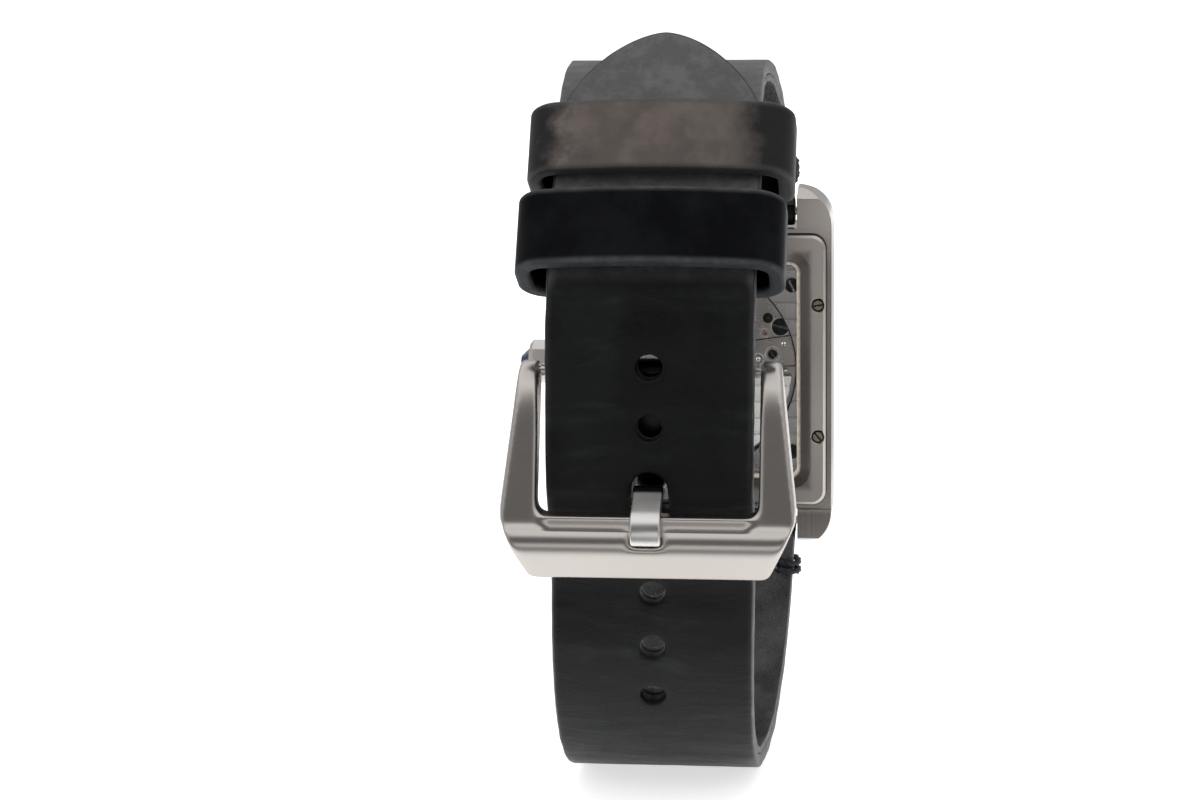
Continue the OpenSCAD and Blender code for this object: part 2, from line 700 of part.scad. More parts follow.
module mainspring() color("slategray") at(barrel_at) slab(layer_a_y + 0.03, 0.27)
    spiral(1.1, 3.5, 7, 0.11);

module barrel_arbor() color("silver") at(barrel_at) {
    disc(bridge_y + 0.05, 1.75, 0.39);
    disc(layer_a_y + 0.02, 0.29, 0.95);
}

module center_wheel() color("goldenrod") train_wheel(center_n, center_m, layer_b_y, center_pinion_n,
    barrel_m, layer_a_y - 0.13, 0.5, plate_y - bridge_y - 0.1, 5,
    meshed(0, barrel_n, center_pinion_n, barrel_dir + 180));

module third_wheel() color("goldenrod") at(third_at) train_wheel(third_n, third_m, layer_a_y,
    third_pinion_n, center_m, layer_b_y - 0.06, wheel_t + 0.12, plate_y + 0.5 - bridge_y, 4,
    meshed(0, center_n, third_pinion_n, third_dir));

module fourth_wheel() color("goldenrod") at(fourth_at) train_wheel(fourth_n, fourth_m, layer_b_y,
    fourth_pinion_n, third_m, layer_a_y - 0.06, wheel_t + 0.12, plate_y + 0.5 - bridge_y, 4,
    meshed(0, third_n, fourth_pinion_n, fourth_dir));

module escape_wheel() color("goldenrod") at(escape_at) {
    slab(layer_a_y, wheel_t) difference() {
        polygon([for (i = [0:escape_n - 1]) each [
            polar(escape_r * 0.74, 24 * i - 7), polar(escape_r, 24 * i), polar(escape_r * 0.97, 24 * i + 4),
            polar(escape_r * 0.74, 24 * i + 7)
        ]]);
        wheel_windows(escape_r * 0.62, 4);
    }
    slab(layer_b_y - 0.06, wheel_t + 0.12) rotate(meshed(0, fourth_n, escape_pinion_n, escape_dir))
        toothed(escape_pinion_n, fourth_m, 0.36, 0.85);
    disc(bridge_y + 0.1, plate_y + 0.5 - bridge_y, arbor_r);
}

module pallet_fork() color("silver") at(pallet_at) {
    slab(layer_a_y, wheel_t - 0.02) rotate(fork_dir) {
        polygon([[-0.3, -0.16], [1.9, -0.1], [2.25, -0.34], [2.4, -0.3], [2.2, 0], [2.4, 0.3], [2.25, 0.34],
            [1.9, 0.1], [-0.3, 0.16], [-0.4, 1.15], [-0.7, 1], [-0.5, 0], [-0.7, -1], [-0.4, -1.15]]);
        circle(0.34);
    }
    disc(layer_a_y - 0.19, plate_y - layer_a_y + 0.6, arbor_r);
}

module balance_wheel() color("goldenrod") at(balance_at) {
    slab(bridge_y + 0.28, 0.3) difference() {
        circle(balance_r);
        difference() {
            circle(balance_r - 0.4);
            circle(0.55);
            square([2 * balance_r, 0.45], center = true);
        }
    }
    disc(auto_bridge_y + 0.22, plate_y + 0.5 - auto_bridge_y, 0.1);
    disc(bridge_y + 0.3, 1.5, 0.26);
    disc(layer_a_y - 0.05, 0.12, 0.34);
}

module hairspring() color("steelblue") at(balance_at) slab(bridge_y + 0.02, 0.18)
    spiral(0.4, 2.1, 8, 0.06);

module cannon_pinion() color("silver") {
    slab(motion_y, 0.2) toothed(cannon_n, cannon_m, 0.4, 0.85);
    disc(plate_y + 0.02, minute_hand_y + hand_t + 0.06 - plate_y, cannon_r);
}

module minute_wheel() color("goldenrod") at(minute_wheel_at) difference() {
    union() {
        slab(motion_y, 0.18) rotate(meshed(0, cannon_n, minute_wheel_n, minute_wheel_dir))
            toothed(minute_wheel_n, cannon_m, 0.46);
        slab(motion_y, 0.42) toothed(minute_pinion_n, hour_m, 0.36, 0.85);
    }
    disc(motion_y - 1, 3, 0.2);
}

module hour_wheel() color("goldenrod") difference() {
    union() {
        slab(motion_y + 0.23, 0.2)
            rotate(meshed(0, minute_pinion_n, hour_wheel_n, minute_wheel_dir + 180))
                toothed(hour_wheel_n, hour_m, 0.46);
        disc(motion_y + 0.23, hour_hand_y + hand_t + 0.04 - motion_y - 0.23, hour_pipe_r);
    }
    disc(motion_y - 1, 4, cannon_r + pivot_gap);
}

module rotor() color("lightgray") difference() {
    union() {
        slab(rotor_y + 0.2, 0.25) intersection() {
            circle(rotor_r);
            union() {
                translate([-rotor_r, -rotor_r]) square([2 * rotor_r, rotor_r - 0.9]);
                circle(2.9);
            }
        }
        slab(rotor_y, rotor_rim_t) difference() {
            circle(rotor_r);
            circle(rotor_r - 2.3);
            translate([-rotor_r - 1, -0.9]) square([2 * rotor_r + 2, rotor_r + 2]);
        }
    }
    disc(rotor_y - 1, 3, 1.62);
}

module rotor_bearing() color("silver") {
    disc(rotor_y + 0.12, 0.4, 1.6);
    disc(rotor_y + 0.52 - eps, auto_bridge_y - rotor_y - 0.57 + auto_bridge_t * 0.8, 0.86);
}

// Crown
module crown_tube() color("silver") along_x(-flank_x - tube_out, stem_y, 0) difference() {
    cylinder(r = tube_r, h = tube_out + lug_w - 1.5);
    translate([0, 0, -1]) cylinder(r = stem_r + 0.1, h = tube_out + lug_w + 1);
}

module crown_stem() color("silver") along_x(crown_x - crown_l + 0.8, stem_y, 0)
    cylinder(r = stem_r, h = -7.6 - (crown_x - crown_l + 0.8));

module winding_pinion() color("silver") along_x(winding_x, stem_y, 0) difference() {
    cylinder(r = winding_r + 0.18, h = winding_l);
    translate([0, 0, -1]) cylinder(r = stem_r + pivot_gap, h = winding_l + 2);
    for (a = [0:30:330]) rotate(a) translate([winding_r + 0.18, 0, winding_l / 2])
        cube([0.16, 0.13, winding_l + 1], center = true);
}

module crown() color("silver") along_x(crown_x - crown_l, stem_y, 0) difference() {
    union() {
        translate([0, 0, 0.45]) cylinder(r = crown_r, h = crown_l - 0.75, $fn = 8);
        cylinder(r1 = crown_r * 0.78, r2 = crown_r, h = 0.46, $fn = 8);
        translate([0, 0, crown_l - 0.31]) cylinder(r1 = crown_r, r2 = crown_r * 0.9, h = 0.31, $fn = 8);
    }
    translate([0, 0, -1]) cylinder(r = crown_r * 0.64, h = 1.5);
    translate([0, 0, 0.75]) cylinder(r = stem_r + 0.01, h = 1);
    translate([0, 0, crown_l - tube_out + crown_gap - 0.5]) cylinder(r = tube_r + 0.3, h = crown_l);
}

module crown_stone() color("navy") along_x(crown_x - crown_l, stem_y, 0) {
    translate([0, 0, -0.02]) cylinder(r = crown_r * 0.62, h = 0.5);
    translate([0, 0, -stone_h]) cylinder(r1 = crown_r * 0.24, r2 = crown_r * 0.62, h = stone_h - 0.015, $fn = 8);
}

module crown_gasket() color("black") along_x(crown_x - 1.2, stem_y, 0) rotate_extrude()
    translate([tube_r + 0.155, 0]) circle(0.13);

// Strap
module lug_spring_bars() color("silver") for (z = [-1, 1]) along_x(0, bar_y, z * bar_z) {
    cylinder(r = bar_r, h = lug_opening - 0.8, center = true);
    cylinder(r = bar_r * 0.7, h = lug_opening + 2.2, center = true);
}

module lug_bore(z) along_x(0, bar_y, z) cylinder(r = bar_r + 0.05, h = lug_strap_w + 1, center = true);

module strap_short_leather() color("#2a2a2a") difference() {
    union() {
        strap_layer(short_path, [for (s = short_s) taper(s)], [for (s = short_s) 0],
            lining_t - strap_t / 2, strap_t / 2, 0.3);
        along_x(0, bar_y, bar_z) cylinder(r = lug_end_r, h = lug_strap_w, center = true);
        along_x(0, near_y, pin_z) cylinder(r = fold_r, h = strap_w - 0.2, center = true);
    }
    lug_bore(bar_z);
    along_x(0, near_y, pin_z) cylinder(r = pin_r + 0.05, h = strap_w + 1, center = true);
    tang_room();
    on_path(short_path, short_s, thread_s) thread_slots();
}

module tang_room() translate([-tang_w / 2 - 0.4, near_y - 5, pin_z - 5]) cube([tang_w + 0.8, 10, 9]);

module strap_short_lining() color("#33302e") difference() {
    strap_layer(short_path, [for (s = short_s) taper(s) - 0.05], [for (s = short_s) 0],
        -strap_t / 2, lining_t - strap_t / 2 - 0.02, 0.05);
    along_x(0, bar_y, bar_z) cylinder(r = lug_end_r + 0.02, h = lug_strap_w + 1, center = true);
    along_x(0, near_y, pin_z) cylinder(r = fold_r + 0.02, h = strap_w + 1, center = true);
    tang_room();
    on_path(short_path, short_s, thread_s) thread_slots();
}

module strap_holes() {
    for (k = [-4:2]) if (k != 0) on_path(long_path, long_s, tang_s + k * hole_pitch)
        rotate([90, 0, 0]) cylinder(r = hole_d / 2, h = 8, center = true);
    on_path(long_path, long_s, tang_s - 0.15) {
        rotate([90, 0, 0]) cylinder(r = tang_slot_r, h = 8, center = true);
        translate([0, 0, -tang_slot_l / 2]) cube([2 * tang_slot_r, 8, tang_slot_l], center = true);
    }
}

module strap_long_leather() color("#262626") difference() {
    union() {
        strap_layer(long_path, [for (s = long_s) long_half(s)], [for (s = long_s) long_drift(s)],
            lining_t - strap_t / 2, strap_t / 2, 0.3);
        along_x(0, bar_y, -bar_z) cylinder(r = lug_end_r, h = lug_strap_w, center = true);
    }
    lug_bore(-bar_z);
    strap_holes();
    on_path(long_path, long_s, thread_s) thread_slots();
}

module strap_long_lining() color("#33302e") difference() {
    strap_layer(long_path, [for (s = long_s) max(0.3, long_half(s) - 0.05)],
        [for (s = long_s) long_drift(s)], -strap_t / 2, lining_t - strap_t / 2 - 0.02, 0.05);
    along_x(0, bar_y, -bar_z) cylinder(r = lug_end_r + 0.02, h = lug_strap_w + 1, center = true);
    strap_holes();
    on_path(long_path, long_s, thread_s) thread_slots();
}

// Waxed thread: two wraps round each edge, through slots punched near the lugs
module thread_slots() for (x = [-1, 1], side = [-1, 1])
    translate([x * (taper(thread_s) - thread_in), 0, side * thread_d * 0.62])
        cube([thread_d + 0.1, 8, thread_d + 0.1], center = true);

module strap_threads() color("#15151c") {
    on_path(short_path, short_s, thread_s) thread_wraps();
    on_path(long_path, long_s, thread_s) thread_wraps();
}

module thread_wraps() for (x = [-1, 1], side = [-1, 1])
    translate([x * (taper(thread_s) - (thread_in - thread_d / 2 - 0.1) / 2), 0, side * thread_d * 0.62])
        linear_extrude(thread_d, center = true) frame_ring(thread_in + 1.5 * thread_d + 0.1,
            strap_t + 2 * thread_d + 0.3, thread_d, thread_d);

// Keepers, square to the strap's straight run where they sit
module keeper(d, w) translate([0, knee[0] + d * sin(keeper_lean), knee[1] + d * cos(keeper_lean)])
    rotate([180 - keeper_lean, 0, 0]) translate([0, tail_off / 2, 0])
    linear_extrude(w, center = true) frame_ring(strap_w + 2 * keeper_side + 2 * keeper_t,
        keeper_depth + 2 * keeper_t, keeper_t + 1, keeper_t);

module fixed_keeper() color("#202024") keeper(fixed_keeper_d, fixed_keeper_w);
module free_keeper() color("#3a3532") translate([tail_drift, 0, 0]) keeper(free_keeper_d, free_keeper_w);

// Buckle
module buckle_side() polygon([
    [near_y + 1.4, pin_z + 0.2], [near_y + 0.9, pin_z + 1], [near_y - 0.5, pin_z + 1.15],
    [near_y - 1.7, pin_z + 0.5], [near_y - 2.5, pin_z - 1], [bar_ridge_y + 1, bar_top_z - 1],
    [bar_ridge_y + 0.42, bar_top_z - 1.45], [bar_ridge_y + 0.05, bar_top_z - 2.05],
    [bar_ridge_y - 0.12, bar_top_z - 2.7], [bar_ridge_y - 0.08, bar_top_z - 3.3],
    [bar_ridge_y + 0.15, bar_top_z - 3.9],
    [bar_back_y - 2.2, bar_low_z], [bar_back_y - 0.3, bar_low_z], [bar_back_y, bar_low_z + 0.4],
    [bar_back_y, bar_top_z + 0.4], [near_y + 0.8, pin_z - 2.4]
]);

module buckle_outline() polygon([
    [-arm_outer_w / 2, pin_z + 2], [-bar_outer_w / 2, bar_top_z + 1], [-bar_outer_w / 2, bar_top_z - 0.6],
    [-bar_low_w / 2 - 0.6, bar_low_z + 0.3], [-bar_low_w / 2, bar_low_z], [bar_low_w / 2, bar_low_z],
    [bar_low_w / 2 + 0.6, bar_low_z + 0.3], [bar_outer_w / 2, bar_top_z - 0.6], [bar_outer_w / 2, bar_top_z + 1],
    [arm_outer_w / 2, pin_z + 2]
]);

module buckle_frame() color("silver") difference() {
    intersection() {
        slab(near_y - 15, 20) buckle_outline();
        translate([bar_outer_w, 0, 0]) rotate([90, 0, -90]) linear_extrude(2 * bar_outer_w)
            mirror([1, 0]) buckle_side();
    }
    slab(near_y - 20, 30) translate([0, (pin_z + bar_top_z) / 2 + 4])
        rounded(strap_w + 2 * arm_gap, pin_z - bar_top_z + 8, 1.2);
    along_x(0, near_y, pin_z) cylinder(r = spring_tip_r + 0.03, h = strap_w + 2 * arm_gap + 2.4, center = true);
    translate([-tang_w / 2 - 0.15, bar_ridge_y - 1, bar_top_z - 3]) cube([tang_w + 0.3, 1.75, 5]);
    translate([0, bar_ridge_y - 5.9, bar_top_z - 3.2]) cylinder(r = 6, h = 6);
}

module buckle_tang() color("silver") translate([tang_w / 2, 0, 0]) rotate([90, 0, -90]) difference() {
    linear_extrude(tang_w) mirror([1, 0]) union() {
        polygon([
            [near_y - 1.1, pin_z - 0.5], [near_y - 0.5, 4], [near_y - 0.15, -1.6], [near_y - 0.4, -2.4],
            [near_y - 1.4, -2.85], [near_y - 3.6, -3], [near_y - 5.6, -3.05], [bar_ridge_y + 0.8, -3.5],
            [bar_ridge_y - 0.3, -4.5], [bar_ridge_y - 0.75, -5.8], [bar_ridge_y - 0.75, -7.5],
            [bar_ridge_y - 0.45, -7.95], [bar_ridge_y + 0.35, -7.95], [bar_ridge_y + 0.65, -7.5],
            [bar_ridge_y + 0.65, -5.3], [bar_ridge_y + 1.2, -4.85], [near_y - 5.4, -4.3], [near_y - 2.8, -4.15],
            [near_y - 0.6, -3.85], [near_y + 0.5, -3], [near_y + 0.85, -1.8], [near_y + 0.8, 1],
            [near_y + 0.6, 4], [near_y + 0.9, pin_z - 0.8]
        ]);
        translate([near_y, pin_z]) circle(fold_r);
    }
    translate([-near_y, pin_z, -1]) cylinder(r = pin_r + pivot_gap, h = tang_w + 2);
}

module buckle_spring_bar() color("silver") along_x(0, near_y, pin_z) {
    cylinder(r = pin_r, h = strap_w + 2 * arm_gap - 0.2, center = true);
    cylinder(r = spring_tip_r, h = strap_w + 2 * arm_gap + 2.2, center = true);
}

case_middle();
caseback_frame();
caseback_window();
window_gasket();
caseback_gasket();
caseback_screws();
crystal();
crystal_gasket();
dial_flange();
dial();
hour_markers();
movement_holder();
casing_screws();
main_plate();
barrel_bridge();
train_bridge();
automatic_bridge();
balance_cock();
pallet_bridge();
bridge_screws();
jewels();
barrel();
mainspring();
barrel_arbor();
center_wheel();
third_wheel();
fourth_wheel();
escape_wheel();
pallet_fork();
balance_wheel();
hairspring();
cannon_pinion();
minute_wheel();
hour_wheel();
hour_hand();
minute_hand();
rotor();
rotor_bearing();
crown_tube();
crown_stem();
winding_pinion();
crown();
crown_stone();
crown_gasket();
lug_spring_bars();
strap_short_leather();
strap_short_lining();
strap_long_leather();
strap_long_lining();
strap_threads();
fixed_keeper();
free_keeper();
buckle_frame();
buckle_tang();
buckle_spring_bar();
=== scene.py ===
from math import ceil, copysign, cos, hypot, pi, radians, sin, tan, tau

import bmesh
import bpy
from mathutils import Matrix, Vector, noise
from mathutils.geometry import delaunay_2d_cdt


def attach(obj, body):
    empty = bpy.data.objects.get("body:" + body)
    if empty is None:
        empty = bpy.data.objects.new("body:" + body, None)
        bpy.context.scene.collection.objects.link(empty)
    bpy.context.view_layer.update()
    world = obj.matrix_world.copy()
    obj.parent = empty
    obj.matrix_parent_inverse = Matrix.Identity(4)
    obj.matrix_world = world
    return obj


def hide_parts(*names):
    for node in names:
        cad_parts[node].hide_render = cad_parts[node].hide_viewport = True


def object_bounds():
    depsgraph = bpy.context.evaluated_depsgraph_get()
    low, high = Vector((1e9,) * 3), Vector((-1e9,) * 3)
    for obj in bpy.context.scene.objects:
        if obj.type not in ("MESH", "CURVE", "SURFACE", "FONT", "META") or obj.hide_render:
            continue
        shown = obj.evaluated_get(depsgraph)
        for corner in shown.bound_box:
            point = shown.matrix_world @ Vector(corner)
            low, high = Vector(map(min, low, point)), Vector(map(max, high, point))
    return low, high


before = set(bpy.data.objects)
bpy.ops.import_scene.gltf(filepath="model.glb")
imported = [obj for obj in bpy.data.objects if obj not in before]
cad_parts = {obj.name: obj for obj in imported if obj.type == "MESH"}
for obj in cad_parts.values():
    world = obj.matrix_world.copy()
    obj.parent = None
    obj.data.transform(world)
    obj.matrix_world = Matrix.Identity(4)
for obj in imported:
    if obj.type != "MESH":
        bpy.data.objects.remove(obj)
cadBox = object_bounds()
mm = 0.001


def linked(name, data):
    made = bpy.data.objects.new(name, data)
    bpy.context.collection.objects.link(made)
    return made


def asMesh(mesh, name):
    data = bpy.data.meshes.new(name)
    mesh.to_mesh(data)
    mesh.free()
    return data


def axes(*columns):
    return Matrix(columns).transposed().to_4x4()


# The camera stands where the photograph was taken from
view = dict(azimuth=6.8976, pitch=11.5401, roll=-0.8569, focalPixels=2935.54, imageWidth=1200,
            place=(0.031195, -0.349203, 0.068063))


def makeCamera():
    azimuth, pitch, roll = (radians(view[key]) for key in ("azimuth", "pitch", "roll"))
    ahead = Vector((-sin(azimuth) * cos(pitch), cos(azimuth) * cos(pitch), -sin(pitch)))
    level = Vector((cos(azimuth), sin(azimuth), 0))
    upward = level.cross(ahead)
    right = level * cos(roll) + upward * sin(roll)
    top = upward * cos(roll) - level * sin(roll)
    data = bpy.data.cameras.new("camera")
    data.sensor_width = 36
    data.lens = 36 * view["focalPixels"] / view["imageWidth"]
    data.clip_start = 0.005
    camera = linked("camera", data)
    camera.matrix_world = Matrix.Translation(view["place"]) @ axes(right, top, -ahead)
    bpy.context.scene.camera = camera


class Value:
    # a node's output; reckoning with it adds maths nodes to its tree

    def __init__(self, socket):
        self.socket, self.tree = socket, socket.id_data

    def maths(self, how, other=0.0):
        return grow(self.tree, "Math", dict(operation=how), i0=self, i1=other)

    def __add__(self, other):
        return self.maths("ADD", other)

    def __sub__(self, other):
        return self.maths("SUBTRACT", other)

    def __rsub__(self, other):
        return grow(self.tree, "Math", dict(operation="SUBTRACT"), i0=other, i1=self)

    def __mul__(self, other):
        return self.maths("MULTIPLY", other)

    def __truediv__(self, other):
        return self.maths("DIVIDE", other)

    def __abs__(self):
        return self.maths("ABSOLUTE")

    def between(self, low, high, toLow=0.0, toHigh=1.0):
        return grow(self.tree, "MapRange", dict(interpolation_type="SMOOTHSTEP"), i0=self, i1=low, i2=high,
                    i3=toLow, i4=toHigh)

    def blend(self, first, second):  # mixes two colours
        return grow(self.tree, "Mix", dict(data_type="RGBA"), 2, i0=self, i6=first, i7=second)


def fill(node, **inputs):
    # inputs by name, or by number as i0, i1
    for key, value in inputs.items():
        if value is None:
            continue
        if key[0] == "i" and key[1:].isdigit():
            socket = node.inputs[int(key[1:])]
        else:
            socket = next(s for s in node.inputs if s.name == key.replace("_", " ") and s.enabled)
        if isinstance(value, Value):
            value.tree.links.new(value.socket, socket)
        else:
            socket.default_value = (*value, 1) if socket.type == "RGBA" else value


def addNode(tree, kind, settings=None, **inputs):
    # kind is a node's name in bpy.types without its prefix
    family = "ShaderNode" if hasattr(bpy.types, "ShaderNode" + kind) else "GeometryNode"
    node = tree.nodes.new(family + kind)
    for key, value in (settings or {}).items():
        setattr(node, key, value)
    fill(node, **inputs)
    return node


def grow(tree, kind, settings=None, which=0, **inputs):
    return Value(addNode(tree, kind, settings, **inputs).outputs[which])


def parts(value):
    return [Value(socket) for socket in addNode(value.tree, "SeparateXYZ", i0=value).outputs]


def vector(how, a, b=None, which=0):
    return grow(a.tree, "VectorMath", dict(operation=how), which, i0=a, i1=b)


def mottle(source, scale, detail=4.0, roughness=0.55):
    return grow(source.tree, "TexNoise", Vector=source, Scale=scale, Detail=detail, Roughness=roughness)


def raised(height, distance, strength=1.0, normal=None):
    return grow(height.tree, "Bump", Height=height, Distance=distance, Strength=strength, Normal=normal)


def roundedEdge(tree, radius):
    # the small radius that a file leaves on an edge
    return grow(tree, "Bevel", dict(samples=6), Radius=radius * mm) if radius else None


def coordinates(tree, kind="Object"):
    return grow(tree, "TexCoord", which=kind)


def lightPath(tree, kind):
    return grow(tree, "LightPath", which=kind)


def newMaterial(name, **sockets):
    material = bpy.data.materials.new(name)
    material.use_nodes = True
    tree = material.node_tree
    shader = tree.nodes["Principled BSDF"]
    fill(shader, **sockets)
    material.diffuse_color = (*sockets["Base_Color"], 1)
    return material, tree, shader


# the colour of wear at the rims is also the colour of the painted light on a strap's faces that look up or down
leatherLooks = dict(
    strapLeather=dict(dark=(0.0016, 0.002, 0.0019), light=(0.0052, 0.006, 0.0058), worn=(0.115, 0.115, 0.116),
        creases=0.075, pores=0.018, roughness=(0.36, 0.5), shine=0.26),
    strapLining=dict(dark=(0.02, 0.02, 0.021), light=(0.062, 0.062, 0.064), worn=(0.1, 0.1, 0.1),
        pores=0.09, roughness=(0.34, 0.52), shine=0.6),
    strapCutEdge=dict(dark=(0.012, 0.013, 0.015), light=(0.045, 0.047, 0.05), worn=(0.17, 0.17, 0.168),
        creases=0.02, pores=0.04, roughness=(0.42, 0.66), shine=0.5),
    # The free keeper's brown is a painted sheen, its dark sides and rims painted shade; the fixed keeper's lighter
    # rims are wear and a painted highlight
    fixedKeeperLeather=dict(dark=(0.0022, 0.0024, 0.003), light=(0.0062, 0.0066, 0.0082),
        worn=(0.08, 0.084, 0.09), pores=0.012, roughness=(0.34, 0.46), shine=0.04),
    freeKeeperLeather=dict(dark=(0.07, 0.058, 0.052), light=(0.125, 0.101, 0.091), worn=(0.05, 0.05, 0.052),
        pores=0.014, roughness=(0.38, 0.52), shine=0.3, sides=(0.0075, 0.0118),
        sideColour=(0.0035, 0.0038, 0.0044)),
)


def leatherMaterial(name, dark, light, worn, pores, roughness, shine, creases=0, sides=None, sideColour=None):
    material, tree, shader = newMaterial(name, Base_Color=light, Specular_IOR_Level=shine)
    place = coordinates(tree)
    along = grow(tree, "UVMap", dict(uv_map="strap"))  # across and along, in metres
    cloud = mottle(place, 170, 5, 0.6)
    fine = mottle(place, 2600, 3, 0.6)
    colour = cloud.between(0.34, 0.68).blend(dark, light)
    coarse = 2500 if pores > 0.05 else 3600
    pore = grow(tree, "TexVoronoi", dict(feature="DISTANCE_TO_EDGE"), Vector=place, Scale=coarse)
    normal = raised(pore.between(0.0, 0.22), pores * mm, 0.8)
    normal = raised(fine, 0.012 * mm, 0.6, normal)
    if creases:  # they run across the strap and sway
        sway = vector("MULTIPLY", grow(tree, "TexNoise", which=1, Vector=place, Scale=90, Detail=2),
                      (0.0, 0.006, 0.0))
        creaseLines = mottle(vector("MULTIPLY", vector("ADD", along, sway), (62, 340, 1)), 1.0, 6, 0.62)
        creaseHighlight = creaseLines.between(0.5, 0.72) * cloud.between(0.4, 0.7, 0.2, 0.8)
        # painted highlight: the crease lines are lightened
        colour = creaseHighlight.blend(colour, tuple(3.6 * c for c in light))
        normal = raised(creaseLines, creases * 3 * mm, 0.85, normal)
    if sides:  # painted sheen in the middle, painted shade at its sides
        off = abs(parts(along)[0] + (cloud - 0.5) * 0.012)
        colour = off.between(*sides).blend(colour, sideColour)
    # the attribute holds real wear at the rims and painted light where the strap faces up or down
    wearAndLight = grow(tree, "Attribute", dict(attribute_name="wearAndLight"), "Fac").between(0.15, 1.0)
    patches = mottle(place, 420, 4, 0.7).between(0.35, 0.7).between(0, 1, 0.7, 1.0)
    fill(shader, Base_Color=(wearAndLight * patches).blend(colour, worn), Normal=normal,
         Roughness=(cloud + fine * 0.35).between(0.4, 0.95, *roughness))
    return material


# Lengths in mm. seam: y from and to, beyond a reach; slope: reach from and to; rearShade: z from and to, share from
# and to; bow: z from and to, lean; shoulder: z to and from, lean, reach
steelLooks = dict(
    caseSteel=dict(dark=(0.615, 0.565, 0.525), light=(0.66, 0.605, 0.56), brush=(11000, 11000, 60), depth=0.0001,
        roughness=(0.2, 0.26), polishedAbove=0.3, stretch=0.85, edge=0.14,
        rearShade=[(11.5, 18, 0.55, 1.0), (-16.5, -9, 1.0, 0.55), (-18, -17.2, 0.62, 1.0)]),
    backSteel=dict(dark=(0.63, 0.58, 0.54), light=(0.67, 0.617, 0.575), brush=(11000, 11000, 60), depth=0.0001,
        roughness=(0.25, 0.27), stretch=0.65, edge=0.07, seam=(0.2, 0.31, 14.9), slope=(14.1, 15.1)),
    buckleSteel=dict(dark=(0.7, 0.655, 0.62), light=(0.715, 0.67, 0.632), brush=(200, 2600, 2600),
        roughness=(0.26, 0.27), bow=(2.5, 9.5, 0.35), shoulder=(-5.7, -6.7, 0.55, 12.0)),
    brightSteel=dict(dark=(0.74, 0.705, 0.675), light=(0.8, 0.765, 0.735), brush=(300, 300, 300),
        roughness=(0.26, 0.32)),
)


def steelMaterial(name, dark, light, brush, roughness, depth=0, stretch=0.0, edge=0, seam=None, slope=None,
                  rearShade=(), polishedAbove=0, behind=None, bow=None, shoulder=None):
    material, tree, shader = newMaterial(name, Base_Color=light, Metallic=1.0, Anisotropic=stretch)
    place = coordinates(tree)
    aside, inward, up = parts(place)
    facing = grow(tree, "NewGeometry", which="Normal")
    if stretch:  # brushed along Z, so its shine spreads along X
        fill(shader, Tangent=grow(tree, "CombineXYZ", X=1.0))
    lines = mottle(vector("MULTIPLY", place, brush), 1.0, 3, 0.6)
    colour = (lines * 0.6 + mottle(place, 260, 3, 0.5) * 0.4).between(0.3, 0.7).blend(dark, light)
    if seam:  # painted shade: dark in the gap round it, below its rim, and darker on the slope down to the window
        start, end, reach = (number * mm for number in seam)
        far = abs(aside).maths("MAXIMUM", abs(up))
        gap = inward.between(start, end) * far.maths("GREATER_THAN", reach)
        colour = gap.blend(colour, (0.03, 0.028, 0.026))
        inner, outer = (number * mm for number in slope)
        colour = far.between(inner, outer).blend(tuple(0.5 * c for c in dark), colour)
    if rearShade:  # darker beside the back and at the lower lugs
        high, low, lugs = (up.between(a * mm, b * mm, *shares) for a, b, *shares in rearShade)
        colour = (high.maths("MAXIMUM", low) * lugs).blend((0.0, 0.0, 0.0), colour)
    if behind:  # painted shade: the tang is darkened where it shows in the holes of the strap
        start, end = (number * mm for number in behind)
        holeShade = inward.between(start, end) * parts(facing)[1].between(-0.3, 0.3, 1.0, 0.0)
        colour = holeShade.blend(colour, (0.025, 0.025, 0.026))
    rough, height = lines.between(0.3, 0.7, *roughness), lines
    if polishedAbove:  # faces that look up or down are polished
        brushed = abs(parts(facing)[2]).between(polishedAbove - 0.1, polishedAbove, 1.0, 0.0)
        rough = grow(tree, "Mix", i0=brushed, i2=0.14, i3=rough)
        height = lines * brushed
    normal = roundedEdge(tree, edge)
    if bow:  # forged arms bow back towards their tops, and the bar's shoulder is worn flat
        start, end, most = bow
        run = up.between(start * mm, end * mm)
        high, low, fall, reach = shoulder
        band = up.between((low - 0.3) * mm, low * mm) * up.between(high * mm, (high + 0.3) * mm, 1.0, 0.0)
        band = band * abs(aside).between((reach - 2) * mm, reach * mm, fall, 0.0)
        pull = grow(tree, "CombineXYZ", Z=run * run * most - band)
        normal = vector("NORMALIZE", vector("ADD", facing, pull))
    if depth:
        normal = raised(height, depth * mm, 0.7, normal)
    fill(shader, Base_Color=colour, Roughness=rough, Normal=normal)
    return material


nickel = dict(dark=(0.5, 0.48, 0.455), light=(0.86, 0.835, 0.8), stripePitch=2.03, stripeDepth=0.004, angle=0,
              shade=1.0, striped=1.0, metallic=1.0, gaps=[], gapWidth=(0.05, 0.09), gapX=9.5, edge=0.08)
nickelLooks = dict(
    holderNickel=nickel,
    bridgeNickel=dict(nickel, dark=(0.56, 0.51, 0.475), light=(0.74, 0.68, 0.64), angle=60, striped=0.0,
        gaps=[(3.66, 8.0), (0.17, 2.0)]),
    # painted reflection: the rotor's nickel is lighter and less metallic so that it looks white; the rims round the
    # movement's screws, pins and jewel use it too
    rotorNickel=dict(nickel, shade=1.25, metallic=0.35),
)


